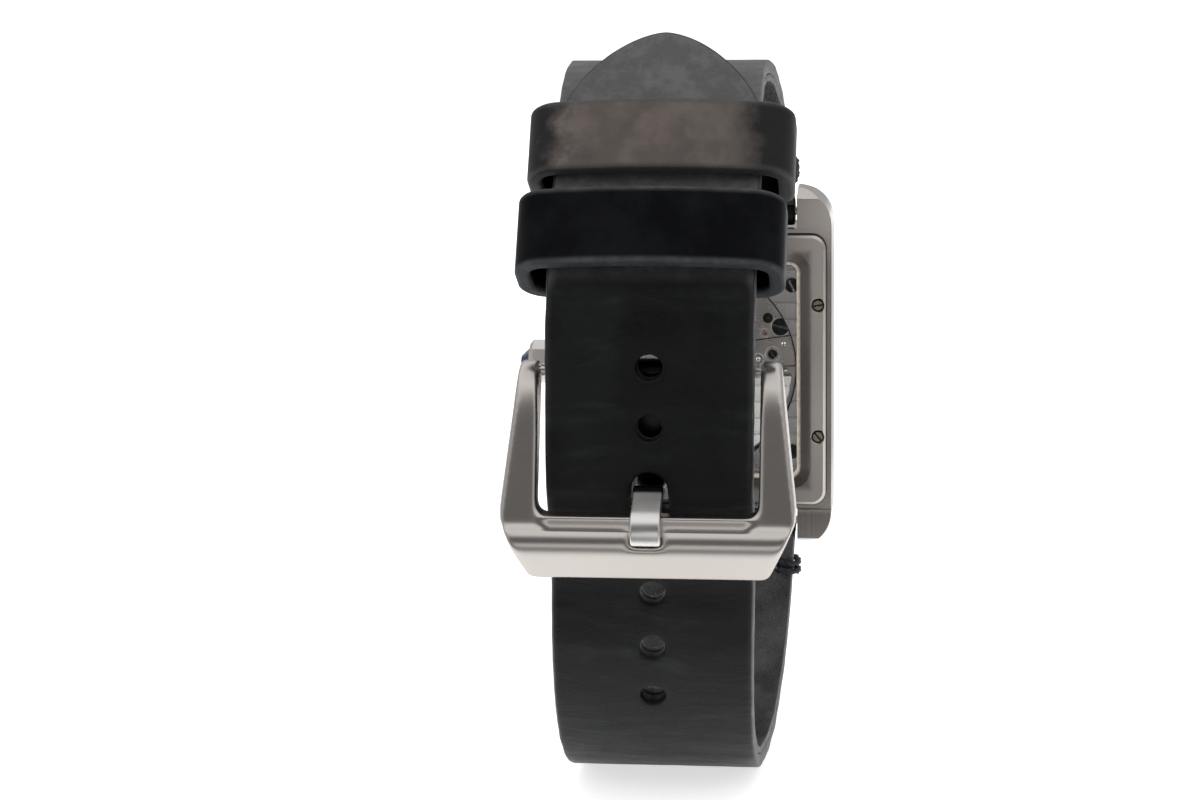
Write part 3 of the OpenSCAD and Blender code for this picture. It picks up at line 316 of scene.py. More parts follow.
def stripedNickel(name, dark, light, stripePitch, stripeDepth, angle, shade, striped, metallic, gaps,
                  gapWidth, gapX, edge):
    # broad stripes with a fine swirl
    material, tree, shader = newMaterial(name, Base_Color=light, Metallic=metallic)
    place = coordinates(tree)
    aside, _, up = parts(place)
    lean = radians(angle)
    share = ((aside * sin(lean) + up * cos(lean)) * (1000 / stripePitch)).maths("FRACT")
    swirl = mottle(vector("MULTIPLY", place, (1500, 1500, 5000)), 1.0, 3, 0.6)
    seam = abs(share - 0.5).between(0.42, 0.5, 0.0, 0.8)
    glow = share * 0.3 + swirl * 0.35 + 0.35 - seam * striped
    dark, light = (tuple(c * shade for c in colour) for colour in (dark, light))
    colour = glow.between(0.15, 0.95).blend(dark, light)
    for z, slant in gaps:  # dark lines where one bridge meets the next
        off = abs(up - z * mm + (aside - gapX * mm) * -tan(radians(slant)))
        colour = off.between(*(number * mm for number in gapWidth)).blend((0.02, 0.018, 0.017), colour)
    normal = raised(share, stripeDepth * striped * mm, 0.35, roundedEdge(tree, edge))
    fill(shader, Base_Color=colour, Roughness=glow.between(0.1, 1.0, 0.36, 0.26),
         Normal=raised(swirl, 0.0002 * mm, 0.5, normal))
    return material


fineLooks = dict(
    waxedThread=dict(colour=(0.012, 0.012, 0.016), roughness=0.5, metallic=0.0, grain=6000, depth=0.02),
    darkScrew=dict(colour=(0.035, 0.035, 0.036), roughness=0.2, grain=2400),
    backScrewHead=dict(colour=(0.34, 0.3, 0.23), roughness=0.24, grain=2400),
    pinSteel=dict(colour=(0.66, 0.64, 0.61), roughness=0.12),
    gearBrass=dict(colour=(0.66, 0.48, 0.24), roughness=0.3),
    springBlue=dict(colour=(0.05, 0.08, 0.24), roughness=0.25),
    handBlue=dict(colour=(0.02, 0.045, 0.17), roughness=0.22),
    markerGold=dict(colour=(0.74, 0.6, 0.36), roughness=0.2),
    dialWhite=dict(colour=(0.83, 0.815, 0.775), roughness=0.38, metallic=0.0, grain=5200, depth=0.004,
        variation=0.05),
    ruby=dict(colour=(0.46, 0.02, 0.06), roughness=0.1, metallic=0.0, Coat_Weight=0.8),
    dullStone=dict(colour=(0.13, 0.075, 0.07), roughness=0.12, metallic=0.0, Coat_Weight=0.8),
    stoneBlue=dict(colour=(0.006, 0.016, 0.07), roughness=0.08, metallic=0.0, variation=0.4, Coat_Weight=1.0,
        IOR=1.7),
    sealPale=dict(colour=(0.66, 0.58, 0.49), roughness=0.42, metallic=0.0, depth=0.01),
    sealBlack=dict(colour=(0.02, 0.02, 0.02), roughness=0.5, metallic=0.0, depth=0.01),
)


def fineMaterial(name, colour, roughness, metallic=1.0, grain=1800, depth=0.001, variation=0.16, **sockets):
    # turned, plated or painted small parts
    material, tree, shader = newMaterial(name, Base_Color=colour, Metallic=metallic, **sockets)
    cloud = mottle(coordinates(tree), grain, 3, 0.6)
    darker = tuple(c * (1 - variation) for c in colour)
    lighter = tuple(min(1.0, c * (1 + variation)) for c in colour)
    fill(shader, Base_Color=cloud.between(0.3, 0.7).blend(darker, lighter),
         Roughness=cloud.between(0.3, 0.7, roughness * 0.8, roughness * 1.25),
         Normal=raised(cloud, depth * mm, 0.5, roundedEdge(tree, 0.05)))
    return material


# the places of the back's screws, and where they turn dark: past the radius of their rims, below the floor of slots
backScrews = dict(x=15.55, z=8.1, radius=(0.55, 0.61), floor=(0.14, 0.17), colour=(0.34, 0.3, 0.23),
                  shadow=(0.02, 0.019, 0.017))


def darkenScrewRims(material):
    tree = material.node_tree
    aside, inward, up = parts(coordinates(tree))
    off = grow(tree, "CombineXYZ", X=abs(aside) - backScrews["x"] * mm, Z=abs(up) - backScrews["z"] * mm)
    far = vector("LENGTH", off, which=1)
    rim, slot = ([number * mm for number in backScrews[key]] for key in ("radius", "floor"))
    shade = far.between(*rim).maths("MAXIMUM", inward.between(*slot))
    fill(tree.nodes["Principled BSDF"], Base_Color=shade.blend(backScrews["colour"], backScrews["shadow"]))


def clearMaterial(name, colour, index=1.76):
    # glass that lets the lamps through
    material, tree, shader = newMaterial(name, Base_Color=colour, Roughness=0.0, IOR=index, Transmission_Weight=1.0)
    fill(shader, Normal=raised(mottle(coordinates(tree), 300, 3, 0.5), 0.0006 * mm, 0.3))
    clear = grow(tree, "BsdfTransparent", Color=colour)
    mixed = grow(tree, "MixShader", i0=lightPath(tree, "Is Shadow Ray"), i1=Value(shader.outputs[0]),
                 i2=clear)
    fill(tree.nodes["Material Output"], Surface=mixed)
    return material


print("stage: materials")
skins = {}
for makeSkin, looks in ((leatherMaterial, leatherLooks), (steelMaterial, steelLooks), (stripedNickel, nickelLooks),
                        (fineMaterial, fineLooks)):
    skins.update({name: makeSkin(name, **look) for name, look in looks.items()})
skins["sapphire"] = clearMaterial("sapphire", (0.97, 0.975, 0.98))
darkenScrewRims(skins["backScrewHead"])

nodeMaterials = dict(
    caseSteel="case_middle",
    backSteel="caseback_frame",
    buckleSteel="buckle_frame",
    brightSteel="buckle_tang buckle_spring_bar lug_spring_bars crown crown_tube crown_stem winding_pinion "
        "rotor_bearing dial_flange barrel_arbor pallet_fork cannon_pinion",
    holderNickel="movement_holder",
    bridgeNickel="main_plate barrel_bridge train_bridge automatic_bridge balance_cock pallet_bridge",
    rotorNickel="rotor",
    darkScrew="casing_screws bridge_screws",
    backScrewHead="caseback_screws",
    gearBrass="barrel center_wheel third_wheel fourth_wheel escape_wheel balance_wheel minute_wheel hour_wheel",
    springBlue="hairspring mainspring",
    handBlue="hour_hand minute_hand",
    markerGold="hour_markers",
    dialWhite="dial",
    ruby="jewels",
    stoneBlue="crown_stone",
    sapphire="caseback_window crystal",
    sealPale="window_gasket crystal_gasket",
    sealBlack="caseback_gasket crown_gasket",
)
for skin, nodes in nodeMaterials.items():
    for node in nodes.split():
        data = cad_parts[node].data
        data.materials.clear()
        data.materials.append(skins[skin])


print("stage: strap")
strap = dict(leather=1.6, lining=0.8, width=22.0, lugWidth=25.4, taperRun=36.0, tipLength=10.5,
             loopDrift=1.0, tailDrift=0.7, nearY=-46.4, pinZ=9.0, bendZ=11.6, bendRadius=14.0, tailOffset=2.6,
             tailLength=36.0, lean=32.0, barY=3.0, barZ=19.2, tangHoleZ=-3.0, holePitch=6.5, holeRadius=1.35,
             slotRadius=1.95, slotLength=2.2, grid=0.55, threadPlace=5.6, threadIn=1.75, thread=0.85,
             notchCorner=0.7, holes=(-4, -3, -2, -1, 1, 2), slotShift=0.15, tipShape=(1.5, 0.6))
halfThickness = (strap["leather"] + strap["lining"]) / 2
shortSteps = [(27.7865, 72), (15.7592, 58), (14.1183, 0), (14, 32), (2.6, 0)]
frontSteps = [(11.1, 0), (12, 19), (10.3, 0), (14, -10), (4.5, 0), (20, 19), (30.4815, 62), (17.6902, 90), (5.5, 0)]


def joinRings(mesh, rings):
    return [mesh.faces.new([a[k], a[(k + 1) % len(a)], b[(k + 1) % len(a)], b[k]])
            for a, b in zip(rings, rings[1:]) for k in range(len(a))]


def walkPath(y, z, heading, steps):
    # points along arcs (radius, turn) and straights (length, 0): y, z, heading
    points = []
    for size, turn in steps:
        length = size if turn == 0 else size * radians(abs(turn))
        count = max(2, ceil(length / 0.3))
        startY, startZ, start = y, z, heading
        for k in range(count + 1):
            if turn == 0:
                run = size * k / count
                y, z = startY - run * sin(radians(start)), startZ + run * cos(radians(start))
            else:
                radius = copysign(size, turn)
                heading = start + turn * k / count
                a, b = radians(start), radians(heading)
                y = startY + radius * (cos(b) - cos(a))
                z = startZ + radius * (sin(b) - sin(a))
            if k or not points:
                points.append((y, z, heading))
    return points


class StrapPath:
    # a strap's centre line; normals point away from the wrist

    def __init__(self, points):
        self.points = points
        self.lengths = [0.0]
        for (y0, z0, _), (y1, z1, _) in zip(points, points[1:]):
            self.lengths.append(self.lengths[-1] + hypot(y1 - y0, z1 - z0))
        self.total = self.lengths[-1]

    def at(self, s):
        s0 = min(max(s, 0.0), self.total)
        low, high = 0, len(self.lengths) - 1
        while high - low > 1:
            middle = (low + high) // 2
            if self.lengths[middle] <= s0:
                low = middle
            else:
                high = middle
        length = self.lengths[high] - self.lengths[low]
        here, there = self.points[low], self.points[high]
        part = (s0 - self.lengths[low]) / length
        y, z, a = (here[k] + (there[k] - here[k]) * part for k in range(3))
        ahead = (s - s0) / length  # past an end the line goes straight on
        a = radians(a)
        return y + (there[0] - here[0]) * ahead, z + (there[1] - here[1]) * ahead, cos(a), sin(a)


tailY = strap["nearY"] - strap["tailOffset"]
shortPath = StrapPath(walkPath(strap["barY"], strap["barZ"], 18, shortSteps))
frontPoints = walkPath(tailY, strap["bendZ"], 180, frontSteps)
tailRadius = strap["bendRadius"] + strap["tailOffset"]
tailPoints = walkPath(tailY, strap["bendZ"], 0, [
    (tailRadius, -strap["lean"]), (strap["tailLength"] - tailRadius * radians(strap["lean"]), 0)])
longPath = StrapPath(frontPoints[::-1] + [(y, z, a + 180) for y, z, a in tailPoints[1:]])
tangPlace = longPath.lengths[len(frontPoints) - 1] - (strap["bendZ"] - strap["tangHoleZ"])


def halfWidth(s, pointed):
    wide = (strap["lugWidth"] + (strap["width"] - strap["lugWidth"]) * min(1, max(0, s) / strap["taperRun"])) / 2
    if not pointed:
        return wide
    left = min(1.0, max(0.0, (longPath.total - s) / strap["tipLength"]))
    blunt, full = strap["tipShape"]
    return wide * (1 - (1 - left) ** blunt) ** full


def drift(s, pointed):
    if not pointed:
        return 0.0
    if s < tangPlace:
        return -strap["loopDrift"] * sin(pi * max(0, s) / tangPlace) ** 2
    return strap["tailDrift"] * (s - tangPlace) / (longPath.total - tangPlace)


def circleLoop(x, s, radius, count=28):
    return [(x + radius * cos(tau * k / count), s + radius * sin(tau * k / count))
            for k in range(count)]


def resampled(points, step):
    # a closed loop with even spacing
    made = []
    for k, (x0, s0) in enumerate(points):
        x1, s1 = points[(k + 1) % len(points)]
        count = max(1, round(hypot(x1 - x0, s1 - s0) / step))
        made += [(x0 + (x1 - x0) * j / count, s0 + (s1 - s0) * j / count) for j in range(count)]
    return made


def inset(loop, distance):
    # moves a loop inwards (to its left) by a distance
    made = []
    for k, (x, s) in enumerate(loop):
        (x0, s0), (x1, s1) = loop[k - 1], loop[(k + 1) % len(loop)]
        ax, ay, bx, by = x - x0, s - s0, x1 - x, s1 - s
        la, lb = hypot(ax, ay) or 1, hypot(bx, by) or 1
        nx, ny = -(ay / la + by / lb), ax / la + bx / lb
        size = hypot(nx, ny) or 1
        lift = min(1.6, 2 / size)
        made.append((x + nx / size * distance * lift, s + ny / size * distance * lift))
    return made


def insideLoop(x, s, loop):
    inside = False
    px, ps = loop[-1]
    for qx, qs in loop:
        if (qs > s) != (ps > s) and x < (px - qx) * (s - qs) / (ps - qs) + qx:
            inside = not inside
        px, ps = qx, qs
    return inside


def layerOutline(pointed, start, end, shrink, notch):
    # the layer's outline in the flat, counter-clockwise: x across, s along
    right, steps = [], 220
    for k in range(steps + 1):
        share = 1 - (1 - k / steps) ** 1.6 if pointed else k / steps  # closer together towards the tip
        s = start + (end - start) * share
        right.append((max(0.02, halfWidth(s, pointed) - shrink), s))
    loop = list(right)
    if notch:
        wide, deep = notch
        corner = strap["notchCorner"]
        arc = [(wide - corner + corner * cos(a), end - deep + corner - corner * sin(a))
               for a in [pi / 2 * j / 6 for j in range(7)]]
        loop += [(wide, end)] + arc + [(-x, s) for x, s in reversed(arc)] + [(-wide, end)]
    loop += [(-x, s) for x, s in reversed(right if not pointed else right[:-1])]
    return resampled(loop, strap["grid"])


def punchedHoles():
    holes = [circleLoop(0, tangPlace + k * strap["holePitch"], strap["holeRadius"]) for k in strap["holes"]]
    radius, length, centre = strap["slotRadius"], strap["slotLength"], tangPlace - strap["slotShift"]
    slot = [(radius * cos(pi * k / 18), centre + radius * sin(pi * k / 18)) for k in range(19)]
    slot += [(-radius, centre - length * k / 4) for k in range(1, 4)]
    slot += [(-radius + 2 * radius * k / 8, centre - length) for k in range(9)]
    slot += [(radius, centre - length * k / 4) for k in (3, 2, 1)]
    return holes + [slot]


def edgeSlots():
    side = halfWidth(strap["threadPlace"], False) - strap["threadIn"]
    return [circleLoop(x * side, strap["threadPlace"] + end * strap["thread"] * 0.62, strap["thread"] * 0.55, 12)
            for x in (-1, 1) for end in (-1, 1)]


def gridPoints(layer, pointed, end, notch, holes):
    # a staggered grid inside the outline, clear of its rims, its notch and its holes
    made = []
    step, rim, start, shrink = strap["grid"], layer["rim"], layer["start"], layer["shrink"]
    wide = strap["lugWidth"] / 2
    for row in range(int((end - start) / step)):
        s = start + step * (row + 0.5)
        if s > end - rim - step * 0.4 or s < start + rim + step * 0.4:
            continue
        near = [hole for hole in holes if abs(s - hole[0][1]) < 5]
        for column in range(int(2 * wide / step)):
            x = -wide + step * (column + 0.5) + step * 0.5 * (row % 2)
            if abs(x) > halfWidth(s, pointed) - shrink - rim - step * 0.45:
                continue
            if notch and abs(x) < notch[0] + rim + step * 0.4 and s > end - notch[1] - rim - step * 0.4:
                continue
            if any(min((x - hx) ** 2 + (s - hs) ** 2 for hx, hs in hole) < (step * 0.6 + rim) ** 2
                   or insideLoop(x, s, hole) for hole in near):
                continue
            made.append((x, s))
    return made


def buildLayer(name, layer, path, end, notch):
    # One layer of a strap: cut flat with its holes, its rims rounded, then bent along its path
    pointed = path is longPath
    (low, high), start, shrink, rim = layer["span"], layer["start"], layer["shrink"], layer["rim"]
    holes = edgeSlots() + (punchedHoles() if pointed else [])
    outline = layerOutline(pointed, start, end, shrink, notch)
    loops = [outline] + [hole[::-1] for hole in holes]
    # rows from the inner face over the cut edge to the outer face: inset, share of the thickness
    rows = [(rim, 0.0), (rim * 0.35, 0.05), (0.0, 0.22), (0.0, 0.62), (rim * 0.12, 0.84), (rim * 0.45, 0.955),
            (rim, 1.0)]
    innerLoops = [inset(loop, rim) for loop in loops]
    points, edges = [], []
    for loop in innerLoops:
        first = len(points)
        points += loop
        edges += [(first + k, first + (k + 1) % len(loop)) for k in range(len(loop))]
    rimCount = len(points)
    points += gridPoints(layer, pointed, end, notch, holes)
    flat, _, faces, origins, _, _ = delaunay_2d_cdt([Vector(p) for p in points], edges, [], 0, 1e-6)
    mesh = bmesh.new()
    uvLayer = mesh.loops.layers.uv.new("strap")
    wearAndLightLayer = mesh.verts.layers.float.new("wearAndLight")
    uv = {}

    def bent(x, s, share, wearAndLight):
        y, z, ny, nz = path.at(s)
        fade = max(0.0, 1 - abs(s) / layer["swell"][0])
        thicker = layer["swell"][1] * fade * fade * (3 - 2 * fade)
        bottom, top = (low - thicker, high) if layer["inner"] else (low, high + thicker)
        ripple = 0.05 * noise.noise(Vector((x * 0.12, s * 0.5, 3.0)))
        ripple += 0.03 * noise.noise(Vector((x * 0.3, s * 1.3, 7.0)))
        v = bottom + (top - bottom) * share + ripple * (1 - share if layer["inner"] else share)
        side = 0.07 * noise.noise(Vector((copysign(4.0, x), s * 0.35, 1.0))) * min(1, abs(x) / 9)
        vert = mesh.verts.new(((x + side + drift(s, pointed)) * mm, (y + ny * v) * mm, (z + nz * v) * mm))
        vert[wearAndLightLayer] = wearAndLight
        uv[vert] = (x * mm, s * mm)
        return vert

    def nearRim(x, s):
        return max(0.0, 1 - (halfWidth(s, pointed) - shrink - abs(x)) / 1.3)

    def rubbed(s):  # the cut edge is rubbed light, but less so on the tail
        return 0.3 if pointed and s > tangPlace - 6 else 0.95

    def facingPaintedLight(s):  # painted light: lighter where the strap faces up, and painted reflection of the floor where it faces down
        up = path.at(s)[3]
        return 0.95 * max(0.0, min(1.0, (up - 0.36) / 0.16)) if up > 0 else max(0.0, min(1.0, (-up - 0.8) / 0.18))

    under = [bent(x, s, 0.0, 0.35 * nearRim(x, s)) for x, s in flat]
    over = [bent(x, s, 1.0, min(1.0, 0.5 * nearRim(x, s) + facingPaintedLight(s))) for x, s in flat]
    for face in faces:
        cx, cs = (sum(flat[v][n] for v in face) / 3 for n in (0, 1))
        if insideLoop(cx, cs, innerLoops[0]) and not any(
                insideLoop(cx, cs, hole) for hole in innerLoops[1:] if abs(cs - hole[0][1]) < 5):
            mesh.faces.new([over[v] for v in face])
            mesh.faces.new([under[v] for v in reversed(face)])
    byRim = {origin[0]: vert for vert, origin in enumerate(origins) if origin and origin[0] < rimCount}
    first = 0
    for loop in loops:
        edge = [byRim[first + k] for k in range(len(loop))]
        rings = [[under[v] for v in edge]]
        for pull, share in rows[1:-1]:
            rings.append([bent(x, s, share, rubbed(s) if loop is outline else 0.0) for x, s in inset(loop, pull)])
        rings.append([over[v] for v in edge])
        for k, quad in enumerate(joinRings(mesh, rings)):
            quad.material_index = 1 if 1 <= k // len(loop) <= 4 and loop is outline else 0
        first += len(loop)
    for face in mesh.faces:
        face.smooth = True
        for corner in face.loops:
            corner[uvLayer].uv = uv[corner.vert]
    mesh.normal_update()
    data = asMesh(mesh, name)
    for skin in layer["skins"]:
        data.materials.append(skins[skin])
    print("strap layer", name, len(data.vertices), "points")
    return linked(name, data)


# leather folded round a bar, as rings along X with rounded ends
folds = dict(lug=dict(radius=1.75, bore=0.82, spans=[(-strap["lugWidth"] / 2, strap["lugWidth"] / 2)]),
             pin=dict(radius=1.3, bore=0.75, spans=[(-10.9, -2.0), (2.0, 10.9)]), around=40, along=26,
             rim=[(0.0, 0.3), (0.08, 0.1), (0.3, 0.0)])


def foldRound(piece, cy, cz, fold):
    mesh = bmesh.new()
    mesh.from_mesh(piece.data)
    uvLayer = mesh.loops.layers.uv["strap"]
    radius, bore, around, along, rim = fold["radius"], fold["bore"], folds["around"], folds["along"], folds["rim"]
    wide = rim[-1][0]
    added = []
    for x0, x1 in fold["spans"]:
        end = [(0.0, bore)] + [(run, radius - drop) for run, drop in rim]
        profile = [(x0 + run, r) for run, r in end]
        profile += [(x0 + wide + (x1 - x0 - 2 * wide) * k / along, radius) for k in range(1, along)]
        profile += [(x1 - run, r) for run, r in reversed(end)]
        rows = [[mesh.verts.new((x * mm, (cy + r * cos(tau * k / around)) * mm,
                                 (cz + r * sin(tau * k / around)) * mm)) for k in range(around)]
                for x, r in profile]
        added += joinRings(mesh, rows + rows[:1])
    bmesh.ops.recalc_face_normals(mesh, faces=added)
    for face in added:
        face.smooth = True
        for corner in face.loops:
            corner[uvLayer].uv = (corner.vert.co.x, corner.vert.co.z)
    mesh.to_mesh(piece.data)
    mesh.free()


middle = -halfThickness + strap["lining"]
layers = dict(
    leather=dict(span=(middle, halfThickness), start=0.9, shrink=0.0, rim=0.34, swell=(4.2, 0.5), inner=False,
        skins=("strapLeather", "strapCutEdge")),
    lining=dict(span=(-halfThickness, middle - 0.02), start=1.5, shrink=0.05, rim=0.16, swell=(4.2, 0.45),
        inner=True, skins=("strapLining", "strapCutEdge")),
)
shortLeather = buildLayer("strapShortLeather", layers["leather"], shortPath, shortPath.total - 0.75, (2.0, 3.25))
shortLining = buildLayer("strapShortLining", layers["lining"], shortPath, shortPath.total - 1.35, (2.0, 2.65))
longLeather = buildLayer("strapLongLeather", layers["leather"], longPath, longPath.total, None)
longLining = buildLayer("strapLongLining", layers["lining"], longPath, longPath.total - 0.2, None)
foldRound(shortLeather, strap["barY"], strap["barZ"], folds["lug"])
foldRound(longLeather, strap["barY"], -strap["barZ"], folds["lug"])
foldRound(shortLeather, strap["nearY"], strap["pinZ"], folds["pin"])
for piece, nodeName, slotName in ((shortLeather, "strap_short_leather", "strap_leather"),
                                  (shortLining, "strap_short_lining", "lining_leather"),
                                  (longLeather, "strap_long_leather", "strap_leather"),
                                  (longLining, "strap_long_lining", "lining_leather")):
    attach(piece, "watch")
    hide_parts(nodeName)


def newTree(name, *keys):
    # a geometry tree with numbers and a skin to give to it
    tree = bpy.data.node_groups.new(name, "GeometryNodeTree")
    for key, kind in (("Geometry", "Geometry"), *((key, "Float") for key in keys), ("Skin", "Material")):
        tree.interface.new_socket(key, in_out="INPUT", socket_type="NodeSocket" + kind)
    tree.interface.new_socket("Geometry", in_out="OUTPUT", socket_type="NodeSocketGeometry")
    given = tree.nodes.new("NodeGroupInput")
    return tree, {key: Value(given.outputs[key]) for key in ("Geometry", *keys, "Skin")}


def finishTree(tree, geometry, give, smooth=True):
    if smooth:
        geometry = grow(tree, "SetShadeSmooth", i0=geometry)
    real = grow(tree, "RealizeInstances", i0=geometry)
    coated = grow(tree, "SetMaterial", Geometry=real, Material=give["Skin"])
    fill(tree.nodes.new("NodeGroupOutput"), i0=coated)
    return tree


def grown(name, tree, sizes, start=None, place=Matrix()):
    # runs a tree on an object, in mm, and keeps its result as a plain mesh in its place
    host = linked(name + "Host", start or bpy.data.meshes.new(name + "Host"))
    modifier = host.modifiers.new("grow", "NODES")
    modifier.node_group = tree
    for item in tree.interface.items_tree:
        if item.item_type == "SOCKET" and item.in_out == "INPUT" and item.name in sizes:
            modifier[item.identifier] = sizes[item.name]
    data = bpy.data.meshes.new_from_object(host.evaluated_get(bpy.context.evaluated_depsgraph_get()))
    host.modifiers.clear()
    bpy.data.objects.remove(host)
    data.name = name
    data.transform(place @ Matrix.Scale(mm, 4))
    return linked(name, data)


def roundedBox(tree, width, height, corner, count):
    box = grow(tree, "CurvePrimitiveQuadrilateral", Width=width, Height=height)
    return grow(tree, "FilletCurve", dict(mode="POLY"), i0=box, Radius=corner, Count=count)


def bandTree():
    # A band round the strap: a rounded profile swept round a rounded rectangle
    tree, give = newTree("keeperBand", "Inner width", "Inner depth", "Corner", "Thickness", "Band", "Rim", "Bow")
    width, depth = (give[key] + give["Thickness"] for key in ("Inner width", "Inner depth"))
    ring = roundedBox(tree, width, depth, give["Corner"], 10)
    profile = roundedBox(tree, give["Thickness"], give["Band"], give["Rim"], 5)
    ring, profile = (grow(tree, "ResampleCurve", i0=line, Count=count)
                     for line, count in ((ring, 240), (profile, 90)))
    swept = grow(tree, "CurveToMesh", i0=ring, i1=profile)
    place = grow(tree, "InputPosition")
    aside, inward, _ = parts(place)
    share = aside / width
    lift = (1.0 - share * share * 4.0) * give["Bow"] * inward.maths("LESS_THAN", 0.0)
    ripple = grow(tree, "TexNoise", Vector=place, Scale=0.16, Detail=3.0)
    offset = grow(tree, "CombineXYZ", Y=lift * -1.0 - (ripple - 0.5) * 0.12)
    return finishTree(tree, grow(tree, "SetPosition", Geometry=swept, Offset=offset), give)


keepers = dict(
    fixed=dict(run=2.8, aside=0.0, band=8.6, bow=1.1, skin="fixedKeeperLeather", body="watch", node="fixed_keeper"),
    free=dict(run=13.2, aside=0.7, band=8.0, bow=1.1, skin="freeKeeperLeather", body="free_keeper",
        node="free_keeper"),
)
keeperSection = {"Inner width": 25.0, "Inner depth": 5.8, "Corner": 2.3, "Thickness": 1.7, "Rim": 0.34}


def paintBand(piece, band, middle, along):
    # UV, and the band's edges marked for wear and painted light
    mesh = bmesh.new()
    mesh.from_mesh(piece.data)
    uvLayer = mesh.loops.layers.uv.new("strap")
    wearAndLightLayer = mesh.verts.layers.float.new("wearAndLight")
    for vert in mesh.verts:
        off = abs((vert.co - middle).dot(along)) / mm
        vert[wearAndLightLayer] = max(0.0, 1 - (band / 2 - off) / 0.95)
    for face in mesh.faces:
        for corner in face.loops:
            corner[uvLayer].uv = (corner.vert.co.x, (corner.vert.co - middle).dot(along))
    bmesh.ops.recalc_face_normals(mesh, faces=mesh.faces)
    mesh.to_mesh(piece.data)
    mesh.free()


def makeKeepers():
    tree = bandTree()
    lean = radians(strap["lean"])
    outward, along = Vector((0, -cos(lean), sin(lean))), Vector((0, sin(lean), cos(lean)))
    knee = Vector((0, strap["nearY"] + strap["bendRadius"] * (1 - cos(lean)),
                   strap["bendZ"] + strap["bendRadius"] * sin(lean)))
    turn = axes(Vector((1, 0, 0)), -outward, along)
    for name, keeper in keepers.items():
        middle = knee + along * keeper["run"] + outward * strap["tailOffset"] / 2 + Vector((keeper["aside"], 0, 0))
        sizes = {**keeperSection, "Band": keeper["band"], "Bow": keeper["bow"], "Skin": skins[keeper["skin"]]}
        # the band is built with its width along Z: it is leant and put on the straps
        piece = grown(name + "Keeper", tree, sizes, place=Matrix.Translation(middle * mm) @ turn)
        paintBand(piece, keeper["band"], middle * mm, along)
        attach(piece, keeper["body"])
        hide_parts(keeper["node"])


makeKeepers()

# half sizes of a wrap, how far it stands in, apart and askew, its squareness and its number of points
wrap = dict(across=1.1375, high=1.76, inside=0.6125, apart=0.51, askew=0.22, square=0.6, points=48)
thread = {"Radius": 0.42, "Ply": 0.17, "Turns per length": 0.95, "Step": 0.11, "Skin": skins["waxedThread"]}


def wrapLoops():
    # centre lines of the thread's wraps, two round each edge of each strap, as loops of edges
    mesh = bmesh.new()
    half, count = halfWidth(strap["threadPlace"], False), wrap["points"]
    for path in (shortPath, longPath):
        for edge in (-1, 1):
            for side in (-1, 1):
                loop = []
                for k in range(count):
                    c, w = cos(tau * k / count), sin(tau * k / count)
                    x = edge * (half - wrap["inside"] + wrap["across"] * copysign(abs(c) ** wrap["square"], c))
                    v = wrap["high"] * copysign(abs(w) ** wrap["square"], w)
                    y, z, ny, nz = path.at(strap["threadPlace"] + side * wrap["apart"] + wrap["askew"] * c * edge)
                    loop.append(mesh.verts.new((x, y + ny * v, z + nz * v)))
                for k in range(count):
                    mesh.edges.new((loop[k], loop[(k + 1) % count]))
    return asMesh(mesh, "wrapLoops")


def threadTree():
    # A three-ply waxed thread twisted along any loop of edges
    tree, give = newTree("waxedThreadWrap", "Radius", "Ply", "Turns per length", "Step")
    line = grow(tree, "MeshToCurve", i0=give["Geometry"])
    even = grow(tree, "ResampleCurve", dict(mode="LENGTH"), i0=line, Length=give["Step"])
    along = grow(tree, "SplineParameter", which="Length")
    tilt = along * give["Turns per length"] * (tau / 3)
    tilted = grow(tree, "SetCurveTilt", i0=even, Tilt=tilt)
    circle = grow(tree, "CurvePrimitiveCircle", Resolution=18, Radius=give["Radius"])
    turn = grow(tree, "SplineParameter", which="Factor") * (6 * pi)
    lobes = 1.0 - give["Ply"] * (1.0 - turn.maths("COSINE"))
    place = vector("MULTIPLY", grow(tree, "InputPosition"), lobes)
    shaped = grow(tree, "SetPosition", Geometry=circle, Position=place)
    return finishTree(tree, grow(tree, "CurveToMesh", i0=tilted, i1=shaped), give)


def makeThreads():
    piece = grown("threadWraps", threadTree(), thread, wrapLoops())
    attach(piece, "watch")
    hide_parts("strap_threads")


makeThreads()


def cleanMesh(piece):
    mesh = bmesh.new()
    mesh.from_mesh(piece.data)
    bmesh.ops.remove_doubles(mesh, verts=mesh.verts, dist=1e-7)
    bmesh.ops.recalc_face_normals(mesh, faces=mesh.faces)
    mesh.to_mesh(piece.data)
    mesh.free()


# width and height over the middle of the ring, its corner, its section, and its middle's place along Y
seals = dict(
    windowSeal=dict(node="window_gasket", slot="seal_pale", size=(26.45, 26.35, 1.18, 0.53, 0.73, 0.14), y=0.825,
        skin="sealPale"),
    crystalSeal=dict(node="crystal_gasket", slot="seal_pale", size=(26.77, 29.77, 1.25, 0.27, 0.78, 0.06), y=8.4,
        skin="sealPale"),
    casebackSeal=dict(node="caseback_gasket", slot="seal_rubber", size=(29.5, 31.5, 2.35, 0.56, 0.26, 0.12), y=1.04,
        skin="sealBlack"),
)


def makeSeals():
    # rubber rings: a rounded band swept round a rounded rectangle
    keys = ("Width", "Height", "Corner", "Across", "Deep", "Bead")
    tree, give = newTree("sealRing", *keys)
    ring = roundedBox(tree, give["Width"], give["Height"], give["Corner"], 12)
    band = roundedBox(tree, give["Across"], give["Deep"], give["Bead"], 4)
    finishTree(tree, grow(tree, "CurveToMesh", i0=ring, i1=band), give)
    turn = axes((1, 0, 0), (0, 0, -1), (0, 1, 0))
    for name, seal in seals.items():
        piece = grown(name, tree, {**dict(zip(keys, seal["size"])), "Skin": skins[seal["skin"]]},
                      place=Matrix.Translation((0, seal["y"] * mm, 0)) @ turn)
        cleanMesh(piece)
        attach(piece, "watch")
        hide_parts(seal["node"])


makeSeals()

